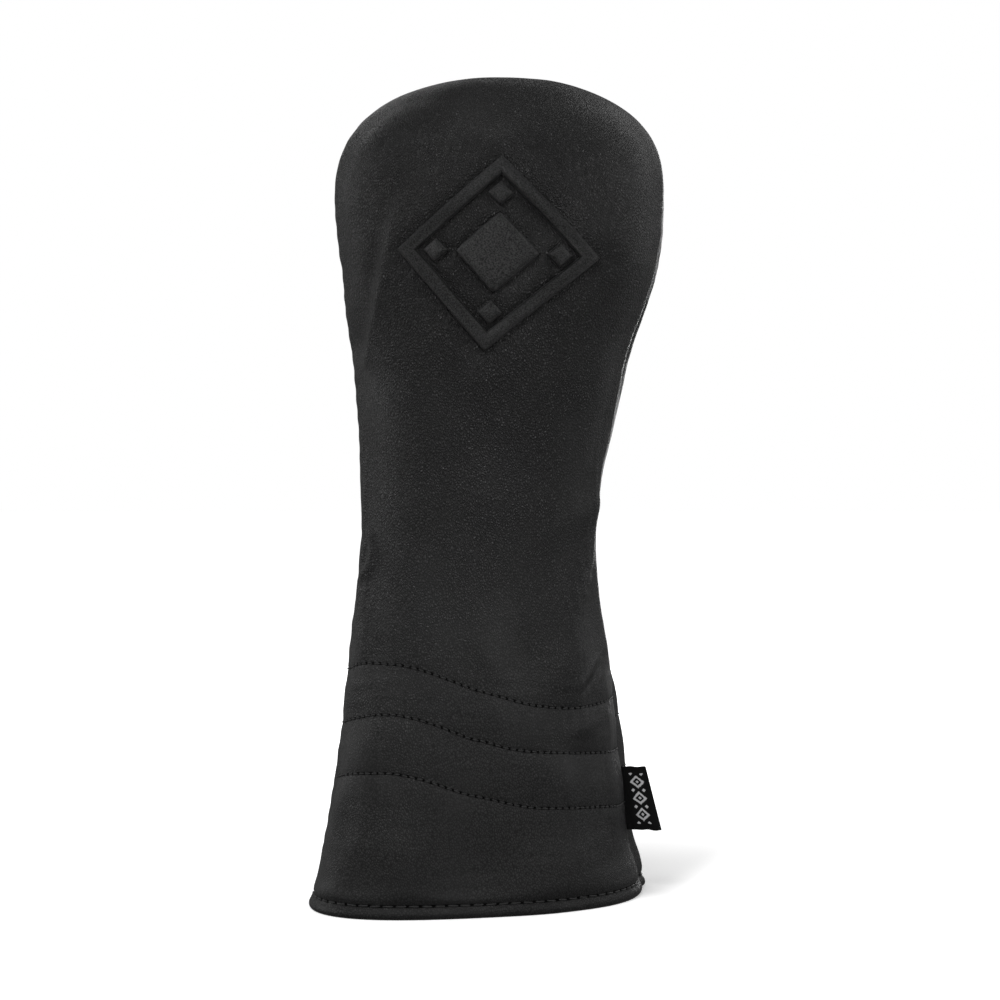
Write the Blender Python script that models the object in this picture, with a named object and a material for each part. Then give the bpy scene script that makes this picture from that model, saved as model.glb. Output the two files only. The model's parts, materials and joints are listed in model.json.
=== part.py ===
"""Driver head cover: two quilted leather panels sewn along one seam that runs from hem to hem over
the crown, padded with foam, lined with plush, gathered at the throat by elastic, with puff
embroidery on the front and a woven loop label in the right seam.

Lengths are millimetres; the objects are in metres. The hem rests on z = 0, the front faces -Y,
the right seam is on +X, and the plan is centred on the origin. The cover is laid out in a pattern
frame, where the side seam lies in the plane y = 0; place() then leans and skews it into the
standing shape.
"""

import math

import bpy
import numpy as np
from mathutils import Vector
from mathutils.bvhtree import BVHTree

FRONT, BACK = -1, 1     # side of the seam plane, as the sign of y
RIGHT, LEFT = 1, -1     # hand, as the sign of x

# --- Outline ---
HEIGHT = 335.0          # hem to crown
WIDEST_Z = 288.0        # where the width starts to round over into the crown
DEEPEST_Z = 262.0       # where the depth starts to round over
CAP_WIDTH_POWER = 2.22
CAP_DEPTH_POWER = 2.2
CENTRE_X, CENTRE_Y = 0.299, -0.008   # brings the bounding box onto the origin

# lean: shift to the right; skew: shift back per mm to the right; power: superellipse exponent of
# the section; swell: shift to the right of the back panel's right side
STATION_COLUMNS = ("height", "half_width", "half_depth", "lean", "skew", "power", "swell")
STATIONS = dict(zip(STATION_COLUMNS, np.array([
    (0.0, 67.6, 52.0, -4.8, 0.24, 2.5, 2.4),
    (10.0, 65.6, 51.0, -3.4, 0.24, 2.5, 1.8),
    (35.0, 60.7, 48.5, -2.9, 0.23, 2.45, 2.6),
    (60.0, 56.8, 46.0, -3.4, 0.21, 2.4, 3.5),
    (85.0, 54.0, 43.5, -3.6, 0.17, 2.35, 3.0),
    (110.0, 51.6, 40.5, -3.9, 0.12, 2.3, 1.0),
    (134.0, 49.1, 38.0, -3.8, 0.08, 2.25, 0.0),
    (150.0, 48.2, 37.2, -3.3, 0.06, 2.2, 0.0),
    (167.0, 49.0, 37.2, -2.8, 0.04, 2.2, 0.0),
    (191.0, 51.7, 38.4, -0.6, 0.02, 2.25, 0.4),
    (216.0, 55.2, 40.6, 0.7, 0.0, 2.3, 1.6),
    (240.0, 60.8, 42.8, 3.0, 0.0, 2.35, 2.2),
    (257.0, 64.3, 43.8, 4.5, 0.0, 2.4, 2.2),
    (273.0, 66.6, 44.0, 4.9, 0.0, 2.4, 2.0),
    (288.0, 67.3, 44.0, 4.9, 0.0, 2.4, 1.6),
    (336.0, 67.9, 44.0, 5.2, 0.0, 2.3, 0.5),
]).T))
SWELL_RAMP = 10.0       # distance behind the seam over which the swell comes in

# --- Mesh rows and columns ---
ROWS = (15.0, 30.0, 55.0, 80.0, 105.0, 134.0, 150.0, 167.0, 191.0, 216.0, 240.0, 257.0, 273.0,
        288.0, 302.0, 314.0, 324.0, 331.0)
ROWS_TO_CROWN = ROWS + (HEIGHT,)
ARC_COLUMNS = 17
ARC_START = 3.5         # the arc's end columns lie this far off the seam plane
LEVEL_BELOW = 14.9      # below this the surface normals are level, so the hem stays flat
CROWN_DROP = 0.1        # the arc's meeting point lies this far below the crown

# --- Layers: depths are below the outer surface ---
LEATHER = 1.2           # thickness
SEAM_HALF_GAP = 0.15    # from the seam plane to each panel's edge
ROLL = 1.8              # radius the leather turns in at the seam
ROLL_MIDDLE = 0.7       # y of the roll's middle point
LIP = 3.3               # how deep the seam allowance reaches
SHORT_LIP = 0.6 * LEATHER + 0.5      # its reach at the bottom
LIP_START, LIP_RISE = 13.0, 12.0     # height where it starts to deepen, and over how much height
FOAM = (1.5, 4.3)
FOAM_AT_ELASTIC = 2.8   # the back padding is thinned here
THINNED_Z = (133, 168)
ELASTIC = (1.5, 2.5)
ELASTIC_ROWS = (137.0, 150.0, 164.0)
PADDING_EDGE = 2.4      # how far the padding and the elastic stop short of the seam plane
PLUSH = (4.6, 6.4)
PLUSH_BOTTOM = 4.0
PLUSH_EDGE = 0.5

# the turned-in hem as (depth, height): from its top inside, down, under and up to the outside
HEM_TURN = 12.0
HEM_OUTER = ((4.2, HEM_TURN), (4.2, 1.2), (3.2, 0.0), (1.0, 0.0), (0.0, 1.2))
HEM_INNER = ((3.0, HEM_TURN), (3.0, 1.8), (2.6, 1.2), (1.6, 1.2), (1.2, 1.8))

# --- Threads ---
THREAD_RADIUS = 0.22
LINING_THREAD_RADIUS = 0.16
THREAD_LIFT = 0.55      # stitch centre line above the leather
HEM_STITCH_Z = 5.3
SIDE_SEAM_START, LINING_SEAM_START = 16.0, 10.0
SIDE_SEAM_DEPTH = LIP + 0.6
LINING_SEAM_DEPTH = PLUSH[0] + 0.9
WAVE_GUESS_Z = 75.0     # where the search for a wave's height starts

# quilting lines: angle round the front panel from the right seam (0) to the left (pi), and height
WAVES = {
    "upper": np.array([
        (0.0, 81.3), (0.3, 80.8), (0.6, 80.2), (0.94, 79.6), (1.22, 80.8), (1.49, 85.2),
        (1.72, 91.4), (2.0, 96.4), (2.2, 97.8), (2.4, 97.8), (2.6, 96.9), (2.9, 95.0),
        (math.pi, 93.8)]),
    "middle": np.array([
        (0.0, 59.7), (0.3, 60.3), (0.7, 61.3), (1.1, 62.4), (1.38, 64.0), (1.58, 67.9),
        (1.78, 72.9), (2.0, 76.3), (2.16, 77.4), (2.34, 77.3), (2.56, 76.4), (2.9, 73.9),
        (math.pi, 72.4)]),
    "lower": np.array([
        (0.0, 37.4), (0.3, 38.4), (0.62, 39.7), (1.03, 40.6), (1.25, 41.3), (1.44, 43.6),
        (1.62, 47.4), (1.83, 51.9), (2.0, 54.3), (2.14, 55.3), (2.34, 55.1), (2.6, 54.2),
        (2.9, 52.4), (math.pi, 50.8)]),
}

# --- Emblem: diamonds given by half width and half height ---
EMBLEM_X, EMBLEM_Z = -0.2, 260.0
EMBLEM_TILT = math.radians(-2.5)
FRAME_HALF = (41.0, 39.0)
FRAME_BAND = 5.8
FRAME_CELLS = 7         # along each side of the frame
CENTER_HALF = (17.2, 16.4)
SMALL_HALF = (5.4, 5.1)
SMALL_PLACE = 0.6       # small diamonds' places, as a share of the frame's half size
DIAMOND_BEVEL = 0.7     # width of a diamond's sloping border
PUFF = 2.0              # how far the embroidery stands up
PUFF_WALL = 0.7
PUFF_CLEAR = 0.35       # gap to the leather

# --- Label ---
LABEL_Z = (25.2, 51.6)
LABEL_REACH = (11.6, 11.0)  # at the lower end and the upper end
LABEL_LAYER, LABEL_GAP = 0.4, 0.3
LABEL_TAIL = 0.12       # the tails start this far right of the hinge line
HINGE_OUT = 0.15        # hinge line outside the seam


# --- Surface of the cover ---
def pchip_slopes(xs, ys):
    """Slopes that carry a cubic through the points without overshoot."""
    steps = np.diff(xs)
    grades = np.diff(ys) / steps
    slopes = np.zeros_like(ys)
    for i in range(1, len(xs) - 1):
        if grades[i - 1] * grades[i] > 0:
            before, after = 2 * steps[i] + steps[i - 1], steps[i] + 2 * steps[i - 1]
            slopes[i] = (before + after) / (before / grades[i - 1] + after / grades[i])
    slopes[0], slopes[-1] = grades[0], grades[-1]
    return slopes


def pchip(x, xs, ys):
    """The smooth curve through (xs, ys), read at x."""
    slopes = pchip_slopes(xs, ys)
    x = np.clip(np.asarray(x, float), xs[0], xs[-1])
    i = np.clip(np.searchsorted(xs, x, side="right") - 1, 0, len(xs) - 2)
    step = xs[i + 1] - xs[i]
    u = (x - xs[i]) / step
    return ((1 + 2 * u) * (1 - u) ** 2 * ys[i] + u * (1 - u) ** 2 * step * slopes[i]
            + u * u * (3 - 2 * u) * ys[i + 1] + u * u * (u - 1) * step * slopes[i + 1])


def station(z, column):
    return pchip(z, STATIONS["height"], STATIONS[column])


def cap(z, start, power):
    """Falls from 1 at the start height to 0 at the crown."""
    share = np.clip((np.asarray(z, float) - start) / (HEIGHT - start), 0, 1)
    return np.maximum(1 - share ** power, 0) ** (1 / power)


def half_width(z):
    return station(z, "half_width") * cap(z, WIDEST_Z, CAP_WIDTH_POWER)


def half_depth(z):
    return station(z, "half_depth") * cap(z, DEEPEST_Z, CAP_DEPTH_POWER)


def signed_power(value, exponent):
    return np.sign(value) * np.abs(value) ** exponent


def skin(angle, z, side):
    """The outer surface in the pattern frame: the angle runs round one panel, right to left."""
    angle, z = np.broadcast_arrays(np.asarray(angle, float), np.asarray(z, float))
    exponent = 2 / station(z, "power")
    return np.stack([half_width(z) * signed_power(np.cos(angle), exponent),
                     side * half_depth(z) * signed_power(np.sin(angle), exponent), z], -1)


def unit(vectors):
    return vectors / np.maximum(np.linalg.norm(vectors, axis=-1, keepdims=True), 1e-12)


def skin_normal(angle, z, side):
    """Outward unit normal of the skin, level near the hem."""
    angle, z = np.broadcast_arrays(np.asarray(angle, float), np.asarray(z, float))
    top = HEIGHT - 1e-3
    round_step = skin(angle + 1e-3, z, side) - skin(angle - 1e-3, z, side)
    up_step = (skin(angle, np.clip(z + 1e-2, 0, top), side)
               - skin(angle, np.clip(z - 1e-2, 0, top), side))
    normal = unit(np.cross(round_step, up_step) * side * -1)
    outward = skin(angle, z, side) * np.array([1, 1, 0]) + np.array([0, 0, 1e-3])
    normal *= np.where((normal * outward).sum(-1, keepdims=True) < 0, -1, 1)
    level = unit(normal * np.array([1, 1, 0]))
    return np.where((z < LEVEL_BELOW)[..., None], level, normal)


def seam_normal(z, hand):
    """Square to the seam, in its own plane."""
    if z < LEVEL_BELOW:
        return np.array([hand, 0.0, 0.0])
    if z > HEIGHT - 1e-6:
        return np.array([0.0, 0.0, 1.0])
    step = 1e-3
    above = min(z + step, HEIGHT)
    slope = (half_width(above) - half_width(z - step)) / (above - z + step)
    normal = np.array([1.0, 0.0, -slope]) / math.hypot(1.0, slope)
    return normal * np.array([hand, 1.0, 1.0])


def at_seam(z, side, hand, depth, y):
    """A point near the seam: depth below the outline, y away from the seam plane."""
    return np.array([hand * half_width(z), side * y, z]) - seam_normal(z, hand) * depth


def arc_angles(z):
    """The columns' angles round a panel at height z."""
    share = ARC_START / max(float(half_depth(z)), ARC_START + 0.1)
    first = math.asin(min(share ** (float(station(z, "power")) / 2), 1.0))
    return first + (math.pi - 2 * first) * np.arange(ARC_COLUMNS) / (ARC_COLUMNS - 1)


def place(point):
    """From the pattern frame to the standing cover."""
    point = np.asarray(point, float)
    x, y, z = point[..., 0], point[..., 1], np.clip(point[..., 2], 0, HEIGHT)
    right = np.clip(x / half_width(np.minimum(z, WIDEST_Z)), 0, 1) ** 2
    behind = np.clip(y / SWELL_RAMP, 0, 1)
    swell = station(z, "swell") * right * behind ** 2 * (3 - 2 * behind)
    return np.stack([x + station(z, "lean") + swell - CENTRE_X,
                     y + station(z, "skew") * x - CENTRE_Y, point[..., 2]], -1)


# --- Meshes, threads and materials ---
def sheet_row(z, side, depth, edge, skipped=0):
    """One row of a sheet: edge points at the right seam, the arc, edge points at the left seam.

    Each edge point is (depth, y), listed from the seam inward; the arc lies at the given depth
    and leaves out the skipped columns at both ends."""
    if z >= HEIGHT:
        meeting = np.array([0.0, side * ARC_START, HEIGHT - depth - CROWN_DROP])
        arc = [meeting] * (ARC_COLUMNS - 2 * skipped)
    else:
        angles = arc_angles(z)[skipped:ARC_COLUMNS - skipped]
        arc = list(skin(angles, z, side) - skin_normal(angles, z, side) * depth)
    right, left = ([at_seam(z, side, hand, d, y) for d, y in edge] for hand in (RIGHT, LEFT))
    return right + arc + left[::-1]


def solid_between(outer, inner, crown_edge=0, ring=False):
    """Points and faces of a closed solid from two sheets of rows.

    With crown_edge, the last row folds shut over the crown, keeping that many edge points and
    one arc point; with ring, the columns close on themselves."""
    rows, columns = len(outer), len(outer[0])
    points, tables = [], []
    for sheet in (outer, inner):
        table = np.zeros((rows, columns), int)
        for i in range(rows):
            for j in range(columns):
                if crown_edge and i == rows - 1:
                    folded = min(j, columns - 1 - j, crown_edge)
                    if j > folded:
                        table[i, j] = table[i, folded]
                        continue
                table[i, j] = len(points)
                points.append(sheet[i][j])
        tables.append(table)
    out, inn = tables
    faces = []

    def quad(*corners):
        """A face without its repeated corners, if three are left."""
        distinct = list(dict.fromkeys(corners))
        if len(distinct) > 2:
            faces.append(distinct)

    spans = [(j, (j + 1) % columns) for j in range(columns if ring else columns - 1)]
    for i in range(rows - 1):
        for j, k in spans:
            quad(out[i, j], out[i, k], out[i + 1, k], out[i + 1, j])
            quad(inn[i, j], inn[i + 1, j], inn[i + 1, k], inn[i, k])
    for j, k in spans:
        quad(out[0, j], inn[0, j], inn[0, k], out[0, k])
        if not crown_edge:
            quad(out[-1, j], out[-1, k], inn[-1, k], inn[-1, j])
    if not ring:
        for i in range(rows - 1):
            quad(out[i, 0], out[i + 1, 0], inn[i + 1, 0], inn[i, 0])
            quad(out[i, -1], inn[i, -1], inn[i + 1, -1], out[i + 1, -1])
    return np.array(points), faces


def material(name, colour, roughness, sheen=0.0):
    made = bpy.data.materials.new(name)
    made.use_nodes = True
    shader = made.node_tree.nodes["Principled BSDF"]
    shader.inputs["Base Color"].default_value = (*colour, 1.0)
    shader.inputs["Roughness"].default_value = roughness
    shader.inputs["Sheen Weight"].default_value = sheen
    made.diffuse_color = (*colour, 1.0)
    return made


def add_mesh(name, points, faces, made_of, origin=(0.0, 0.0, 0.0)):
    """A mesh object from millimetre points, faces turned outward and round sides smooth."""
    points = np.asarray(points, float)
    triangles = np.array([(f[0], f[i], f[i + 1]) for f in faces for i in range(1, len(f) - 1)])
    if np.linalg.det(points[triangles] - points.mean(0)).sum() < 0:
        faces = [list(reversed(face)) for face in faces]
    mesh = bpy.data.meshes.new(name)
    mesh.from_pydata([tuple((point - np.array(origin)) / 1000) for point in points], [],
                     [tuple(int(v) for v in face) for face in faces])
    mesh.validate()
    for polygon in mesh.polygons:
        polygon.use_smooth = True
    mesh.set_sharp_from_angle(angle=math.radians(50))
    mesh.materials.append(made_of)
    obj = bpy.data.objects.new(name, mesh)
    obj.location = Vector(origin) / 1000
    bpy.context.scene.collection.objects.link(obj)


def add_thread(name, path, radius=THREAD_RADIUS, closed=False):
    """A sewing thread: a curve with a round bevel."""
    curve = bpy.data.curves.new(name, "CURVE")
    curve.dimensions = "3D"
    curve.twist_mode = "MINIMUM"
    curve.bevel_depth = radius / 1000
    curve.bevel_resolution = 0
    curve.use_fill_caps = True
    spline = curve.splines.new("POLY")
    spline.points.add(len(path) - 1)
    for knot, point in zip(spline.points, path):
        knot.co = (*(np.asarray(point) / 1000), 1.0)
    spline.use_cyclic_u = closed
    curve.materials.append(thread)
    obj = bpy.data.objects.new(name, curve)
    bpy.context.scene.collection.objects.link(obj)


# --- Leather panels ---
def lip_amount(z):
    """0 where the seam allowance is short, 1 where it has its full reach."""
    return min(max((z - LIP_START) / LIP_RISE, 0.0), 1.0)


def outer_edge(z):
    """Lip end and three points on the rolled edge."""
    roll = [(ROLL - math.sqrt(ROLL ** 2 - (ROLL - y) ** 2), y)
            for y in (SEAM_HALF_GAP, ROLL_MIDDLE, ROLL)]
    return [(SHORT_LIP + (LIP - SHORT_LIP) * lip_amount(z), SEAM_HALF_GAP)] + roll


def inner_edge(z):
    """The inner face's edge, blended from flat at the bottom to following the lip."""
    amount = lip_amount(z)
    lip_y = SEAM_HALF_GAP + LEATHER
    flat = [(1.12 * LEATHER, SEAM_HALF_GAP + 0.3), (LEATHER, SEAM_HALF_GAP + 0.7),
            (LEATHER, 1.3), (LEATHER, ROLL)]
    lipped = [(LIP, lip_y), (1.45, lip_y), (1.3, 1.5), (LEATHER, ROLL)]
    return [tuple((1 - amount) * a + amount * b for a, b in zip(*pair))
            for pair in zip(flat, lipped)]


def hem_row(depth, z, side, other_depth):
    """A level row of the turned hem, squared off at the seam."""
    edge = [(depth + 0.4 * (other_depth - depth), SEAM_HALF_GAP)]
    edge += [(depth, y) for y in (SEAM_HALF_GAP, ROLL_MIDDLE, ROLL)]
    return [np.array([p[0], p[1], z]) for p in sheet_row(z, side, depth, edge)]


def build_panel(name, side):
    """Adds the panel and returns a search tree of its outer face."""
    outer, inner = [], []
    for (outer_depth, outer_z), (inner_depth, inner_z) in zip(HEM_OUTER, HEM_INNER):
        outer.append(hem_row(outer_depth, outer_z, side, inner_depth))
        inner.append(hem_row(inner_depth, inner_z, side, outer_depth))
    for z in ROWS_TO_CROWN:
        outer.append(sheet_row(z, side, 0.0, outer_edge(z)))
        inner.append(sheet_row(z, side, LEATHER, inner_edge(z)))
    outer, inner = ([[place(p) for p in row] for row in sheet] for sheet in (outer, inner))
    add_mesh(name, *solid_between(outer, inner, crown_edge=4), leather)

    face_rows = np.array(outer[len(HEM_OUTER) - 1:])
    wide = face_rows.shape[1]
    cells = [(i * wide + j, i * wide + j + 1, (i + 1) * wide + j + 1, (i + 1) * wide + j)
             for i in range(len(face_rows) - 1) for j in range(wide - 1)]
    return BVHTree.FromPolygons([Vector(p) for p in face_rows.reshape(-1, 3)], cells)


# --- Padding, lining and elastic ---
def add_layer(name, side, rows, edge_y, made_of, crown_edge=1):
    """A soft layer that stops edge_y short of the seam; rows of height, outer, inner depth."""
    outer, inner = [], []
    for z, *depths in rows:
        for sheet, depth in zip((outer, inner), depths):
            row = sheet_row(z, side, depth, [(depth, edge_y)], skipped=1)
            sheet.append([place(p) for p in row])
    add_mesh(name, *solid_between(outer, inner, crown_edge), made_of)


def build_padding():
    front = [(z, *FOAM) for z in ROWS_TO_CROWN]
    back = [(z, FOAM_AT_ELASTIC if THINNED_Z[0] < z < THINNED_Z[1] else FOAM[0], FOAM[1])
            for z in ROWS_TO_CROWN]
    add_layer("front_padding", FRONT, front, PADDING_EDGE, foam)
    add_layer("back_padding", BACK, back, PADDING_EDGE, foam)


def build_lining():
    rows = [(z, *PLUSH) for z in (PLUSH_BOTTOM,) + ROWS_TO_CROWN]
    add_layer("front_lining", FRONT, rows, PLUSH_EDGE, plush)
    add_layer("back_lining", BACK, rows, PLUSH_EDGE, plush)


def build_elastic():
    rows = [(z, *ELASTIC) for z in ELASTIC_ROWS]
    add_layer("throat_elastic", BACK, rows, PADDING_EDGE, elastic, crown_edge=0)


# --- Stitching ---
def above_panel(point, tree):
    """The panel's nearest point, lifted to the stitches' centre line."""
    location, normal, _, _ = tree.find_nearest(Vector(point))
    location, outward = np.array(location), np.array(normal)
    if (outward * (location - np.array([0.0, 0.0, location[2]]))).sum() < 0:
        outward = -outward
    return location + outward * THREAD_LIFT


def wave_path(wave, mirrored):
    """(angle, height) where the wave crosses each panel column."""
    path = []
    for i in range(ARC_COLUMNS):
        z = WAVE_GUESS_Z
        # the column's angle depends on the height, so the two are settled in turn
        for _ in range(4):
            first = arc_angles(z)[0]
            angle = first + (math.pi - 2 * first) * i / (ARC_COLUMNS - 1)
            z = float(pchip(math.pi - angle if mirrored else angle, wave[:, 0], wave[:, 1]))
        path.append((angle, z))
    return path


def build_wave_stitches(trees):
    """Three quilting lines on each panel; the back's are mirrored left to right."""
    for name, wave in WAVES.items():
        for face, side in (("front", FRONT), ("back", BACK)):
            path = [above_panel(place(skin(angle, z, side)), trees[side])
                    for angle, z in wave_path(wave, mirrored=side == BACK)]
            add_thread(f"{face}_wave_stitch_{name}", path)


def build_hem_stitch(trees):
    ring = []
    for side in (FRONT, BACK):
        right, left = (at_seam(HEM_STITCH_Z, side, hand, 0.0, ROLL) for hand in (RIGHT, LEFT))
        arc = [skin(angle, HEM_STITCH_Z, side) for angle in arc_angles(HEM_STITCH_Z)]
        half = [above_panel(place(p), trees[side]) for p in [right, *arc, left]]
        ring += half if side == FRONT else half[::-1]
    add_thread("hem_topstitch", ring, closed=True)


def along_seam(depth, start):
    """Over the crown from the right side to the left, in the seam plane."""
    heights = (start,) + tuple(z for z in ROWS if z > start + 4)
    right, left = ([at_seam(z, FRONT, hand, depth, 0.0) for z in heights]
                   for hand in (RIGHT, LEFT))
    crown = at_seam(HEIGHT, FRONT, RIGHT, depth, 0.0)
    return [place(p) for p in right + [crown] + left[::-1]]


def build_seam_threads():
    add_thread("side_seam_thread", along_seam(SIDE_SEAM_DEPTH, SIDE_SEAM_START))
    add_thread("lining_seam_thread", along_seam(LINING_SEAM_DEPTH, LINING_SEAM_START),
               LINING_THREAD_RADIUS)


# --- Puff embroidery ---
def on_front(u, v, height):
    """A point of the emblem's flat drawing (u right, v up), wrapped onto the front panel."""
    cos, sin = math.cos(EMBLEM_TILT), math.sin(EMBLEM_TILT)
    x, z = EMBLEM_X + cos * u - sin * v, EMBLEM_Z + sin * u + cos * v
    share = np.clip(x / float(half_width(z)), -1, 1)
    angle = math.acos(float(signed_power(share, float(station(z, "power")) / 2)))
    return place(skin(angle, z, FRONT) + skin_normal(angle, z, FRONT) * height)


def side_distance(half_u, half_v):
    """From a diamond's centre to its sides."""
    return 1 / math.hypot(1 / half_u, 1 / half_v)


def build_diamond(name, centre_u, centre_v, half_u, half_v, cells):
    """A solid diamond: an embroidered shell, open underneath, over its own foam core."""
    reach = side_distance(half_u, half_v)
    inside = 1 - DIAMOND_BEVEL / reach
    marks = [-1.0] + [inside * (2 * i / cells - 1) for i in range(cells + 1)] + [1.0]

    def grid(inset, edge_height, height):
        scale = 1 - inset / reach
        return [[on_front(centre_u + (a + b) / 2 * half_u * scale,
                          centre_v + (a - b) / 2 * half_v * scale,
                          edge_height if max(abs(a), abs(b)) == 1.0 else height)
                 for b in marks] for a in marks]

    core_inset = PUFF_WALL + 1.0
    add_mesh(f"emblem_{name}_cover", *solid_between(
        grid(0.0, PUFF_CLEAR + 0.6, PUFF),
        grid(PUFF_WALL, PUFF_CLEAR, PUFF - PUFF_WALL)), embroidery)
    add_mesh(f"emblem_{name}_core", *solid_between(
        grid(core_inset, 0.8, PUFF - PUFF_WALL - 0.3),
        grid(core_inset, PUFF_CLEAR, PUFF_CLEAR)), puff_foam)


def frame_strip(*half_profile, middle):
    """Closed rows from (distance in from the outline, height) pairs, mirrored about the band's
    middle, which has its own height."""
    half_u, half_v = FRAME_HALF
    corners = [(half_u, 0.0), (0.0, half_v), (-half_u, 0.0), (0.0, -half_v)]
    mirrored = [(FRAME_BAND - distance, height) for distance, height in half_profile[::-1]]
    rows = []
    for distance, height in [*half_profile, (FRAME_BAND / 2, middle), *mirrored]:
        shrink = 1 - distance / side_distance(half_u, half_v)
        row = []
        for (u0, v0), (u1, v1) in zip(corners, corners[1:] + corners[:1]):
            for i in range(FRAME_CELLS):
                share = i / FRAME_CELLS
                row.append(on_front((u0 + (u1 - u0) * share) * shrink,
                                    (v0 + (v1 - v0) * share) * shrink, height))
        rows.append(row)
    return rows


def build_frame():
    """A diamond outline: the same shell and core, in a closed strip."""
    ceiling = PUFF - PUFF_WALL
    core_inset = PUFF_WALL + 0.9
    add_mesh("emblem_frame_cover", *solid_between(
        frame_strip((0, PUFF_CLEAR + 0.5), (0.8, PUFF - 0.25), middle=PUFF),
        frame_strip((PUFF_WALL, PUFF_CLEAR), (PUFF_WALL + 0.3, ceiling - 0.1), middle=ceiling),
        ring=True), embroidery)
    add_mesh("emblem_frame_core", *solid_between(
        frame_strip((core_inset, 0.95), middle=1.0),
        frame_strip((core_inset, PUFF_CLEAR), middle=PUFF_CLEAR), ring=True), puff_foam)


def build_emblem():
    build_frame()
    build_diamond("center", 0.0, 0.0, *CENTER_HALF, cells=4)
    place_u, place_v = (SMALL_PLACE * half for half in FRAME_HALF)
    for name, u, v in (("left", -place_u, 0.0), ("right", place_u, 0.0),
                       ("top", 0.0, place_v), ("bottom", 0.0, -place_v)):
        build_diamond(name, u, v, *SMALL_HALF, cells=1)


# --- Loop label ---
def build_label():
    """A folded loop whose tails meet the right seam; its origin is the hinge line's low end."""
    low_end, high_end = (place(at_seam(z, FRONT, RIGHT, -HINGE_OUT, 0.0)) for z in LABEL_Z)
    axis = (high_end - low_end) / np.linalg.norm(high_end - low_end)
    rightward = np.array([1.0, 0.0, 0.0])
    facing = np.cross(axis, rightward)
    facing /= np.linalg.norm(facing)
    half, gap = LABEL_GAP / 2 + LABEL_LAYER, LABEL_GAP / 2
    # share of the reach (0 is a tail's end), offset across the loop
    section = [(0, -half), (0.97, -half), (1.0, -half + 0.2), (1.0, half - 0.2), (0.97, half),
               (0, half), (0, gap), (0.955, gap), (0.955, -gap), (0, -gap)]
    points = [end + rightward * max(share * reach, LABEL_TAIL) + facing * across
              for end, reach in zip((low_end, high_end), LABEL_REACH)
              for share, across in section]
    count = len(section)
    faces = [(i, (i + 1) % count, count + (i + 1) % count, count + i) for i in range(count)]
    for base in (0, count):
        for corners in ((0, 1, 8, 9), (1, 2, 8), (2, 3, 7, 8), (3, 4, 7), (4, 5, 6, 7)):
            ids = [base + v for v in corners]
            faces.append(ids if base else ids[::-1])
    add_mesh("label", points, faces, woven, origin=tuple(low_end))


for old in list(bpy.data.objects):
    bpy.data.objects.remove(old, do_unlink=True)

leather = material("black_leather", colour=(0.022, 0.022, 0.023), roughness=0.48)
foam = material("grey_foam", colour=(0.16, 0.16, 0.17), roughness=0.95)
plush = material("charcoal_plush", colour=(0.035, 0.035, 0.038), roughness=0.98, sheen=0.6)
elastic = material("black_elastic", colour=(0.03, 0.03, 0.03), roughness=0.85)
thread = material("black_thread", colour=(0.012, 0.012, 0.012), roughness=0.6)
embroidery = material("black_embroidery", colour=(0.018, 0.018, 0.018), roughness=0.5, sheen=0.2)
puff_foam = material("black_puff_foam", colour=(0.05, 0.05, 0.05), roughness=0.95)
woven = material("woven_label", colour=(0.02, 0.02, 0.02), roughness=0.8)

panel_trees = {side: build_panel(name, side)
               for name, side in (("front_panel", FRONT), ("back_panel", BACK))}
build_padding()
build_lining()
build_elastic()
build_wave_stitches(panel_trees)
build_hem_stitch(panel_trees)
build_seam_threads()
build_emblem()
build_label()
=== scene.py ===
"""Driver head cover: a padded leather sock with quilting rows, a raised emblem and a loop label.

It stands on its hem at z = 0 with its closed crown up. The front panel faces -y and the back panel
+y; they meet in seams at the right (+x) and the left (-x). Shapes are worked out in millimetres and
turned to metres as meshes are made. "side" is -1 for the front panel and 1 for the back one, and
"turn" is the angle round a panel, from 0 at the right seam to pi at the left one.
"""
import json
import math

import bmesh
import bpy
import numpy as np
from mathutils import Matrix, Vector
from mathutils.bvhtree import BVHTree


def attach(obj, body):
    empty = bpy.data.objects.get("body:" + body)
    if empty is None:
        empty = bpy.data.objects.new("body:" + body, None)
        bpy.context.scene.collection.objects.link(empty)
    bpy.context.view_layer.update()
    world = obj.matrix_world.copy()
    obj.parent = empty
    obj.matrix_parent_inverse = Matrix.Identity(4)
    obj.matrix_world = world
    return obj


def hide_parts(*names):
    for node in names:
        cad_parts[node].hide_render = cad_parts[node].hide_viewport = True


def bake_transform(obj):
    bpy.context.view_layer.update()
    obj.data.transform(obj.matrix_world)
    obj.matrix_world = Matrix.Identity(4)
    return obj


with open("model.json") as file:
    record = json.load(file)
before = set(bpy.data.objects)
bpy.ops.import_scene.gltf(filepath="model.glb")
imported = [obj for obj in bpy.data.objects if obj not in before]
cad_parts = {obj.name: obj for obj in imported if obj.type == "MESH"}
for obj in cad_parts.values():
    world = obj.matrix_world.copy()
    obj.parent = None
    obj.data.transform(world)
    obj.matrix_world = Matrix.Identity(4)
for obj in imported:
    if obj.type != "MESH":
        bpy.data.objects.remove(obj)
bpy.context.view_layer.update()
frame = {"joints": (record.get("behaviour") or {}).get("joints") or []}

# ---- Sizes, in millimetres ----
HEIGHT = 335.0
WIDEST_Z = 288.0    # the width starts to close over the crown here
DEEPEST_Z = 262.0   # and the depth here
CAP_WIDTH_POWER = 2.22
CAP_DEPTH_POWER = 2.2
CENTRE_X, CENTRE_Y = 0.299, -0.008

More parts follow.
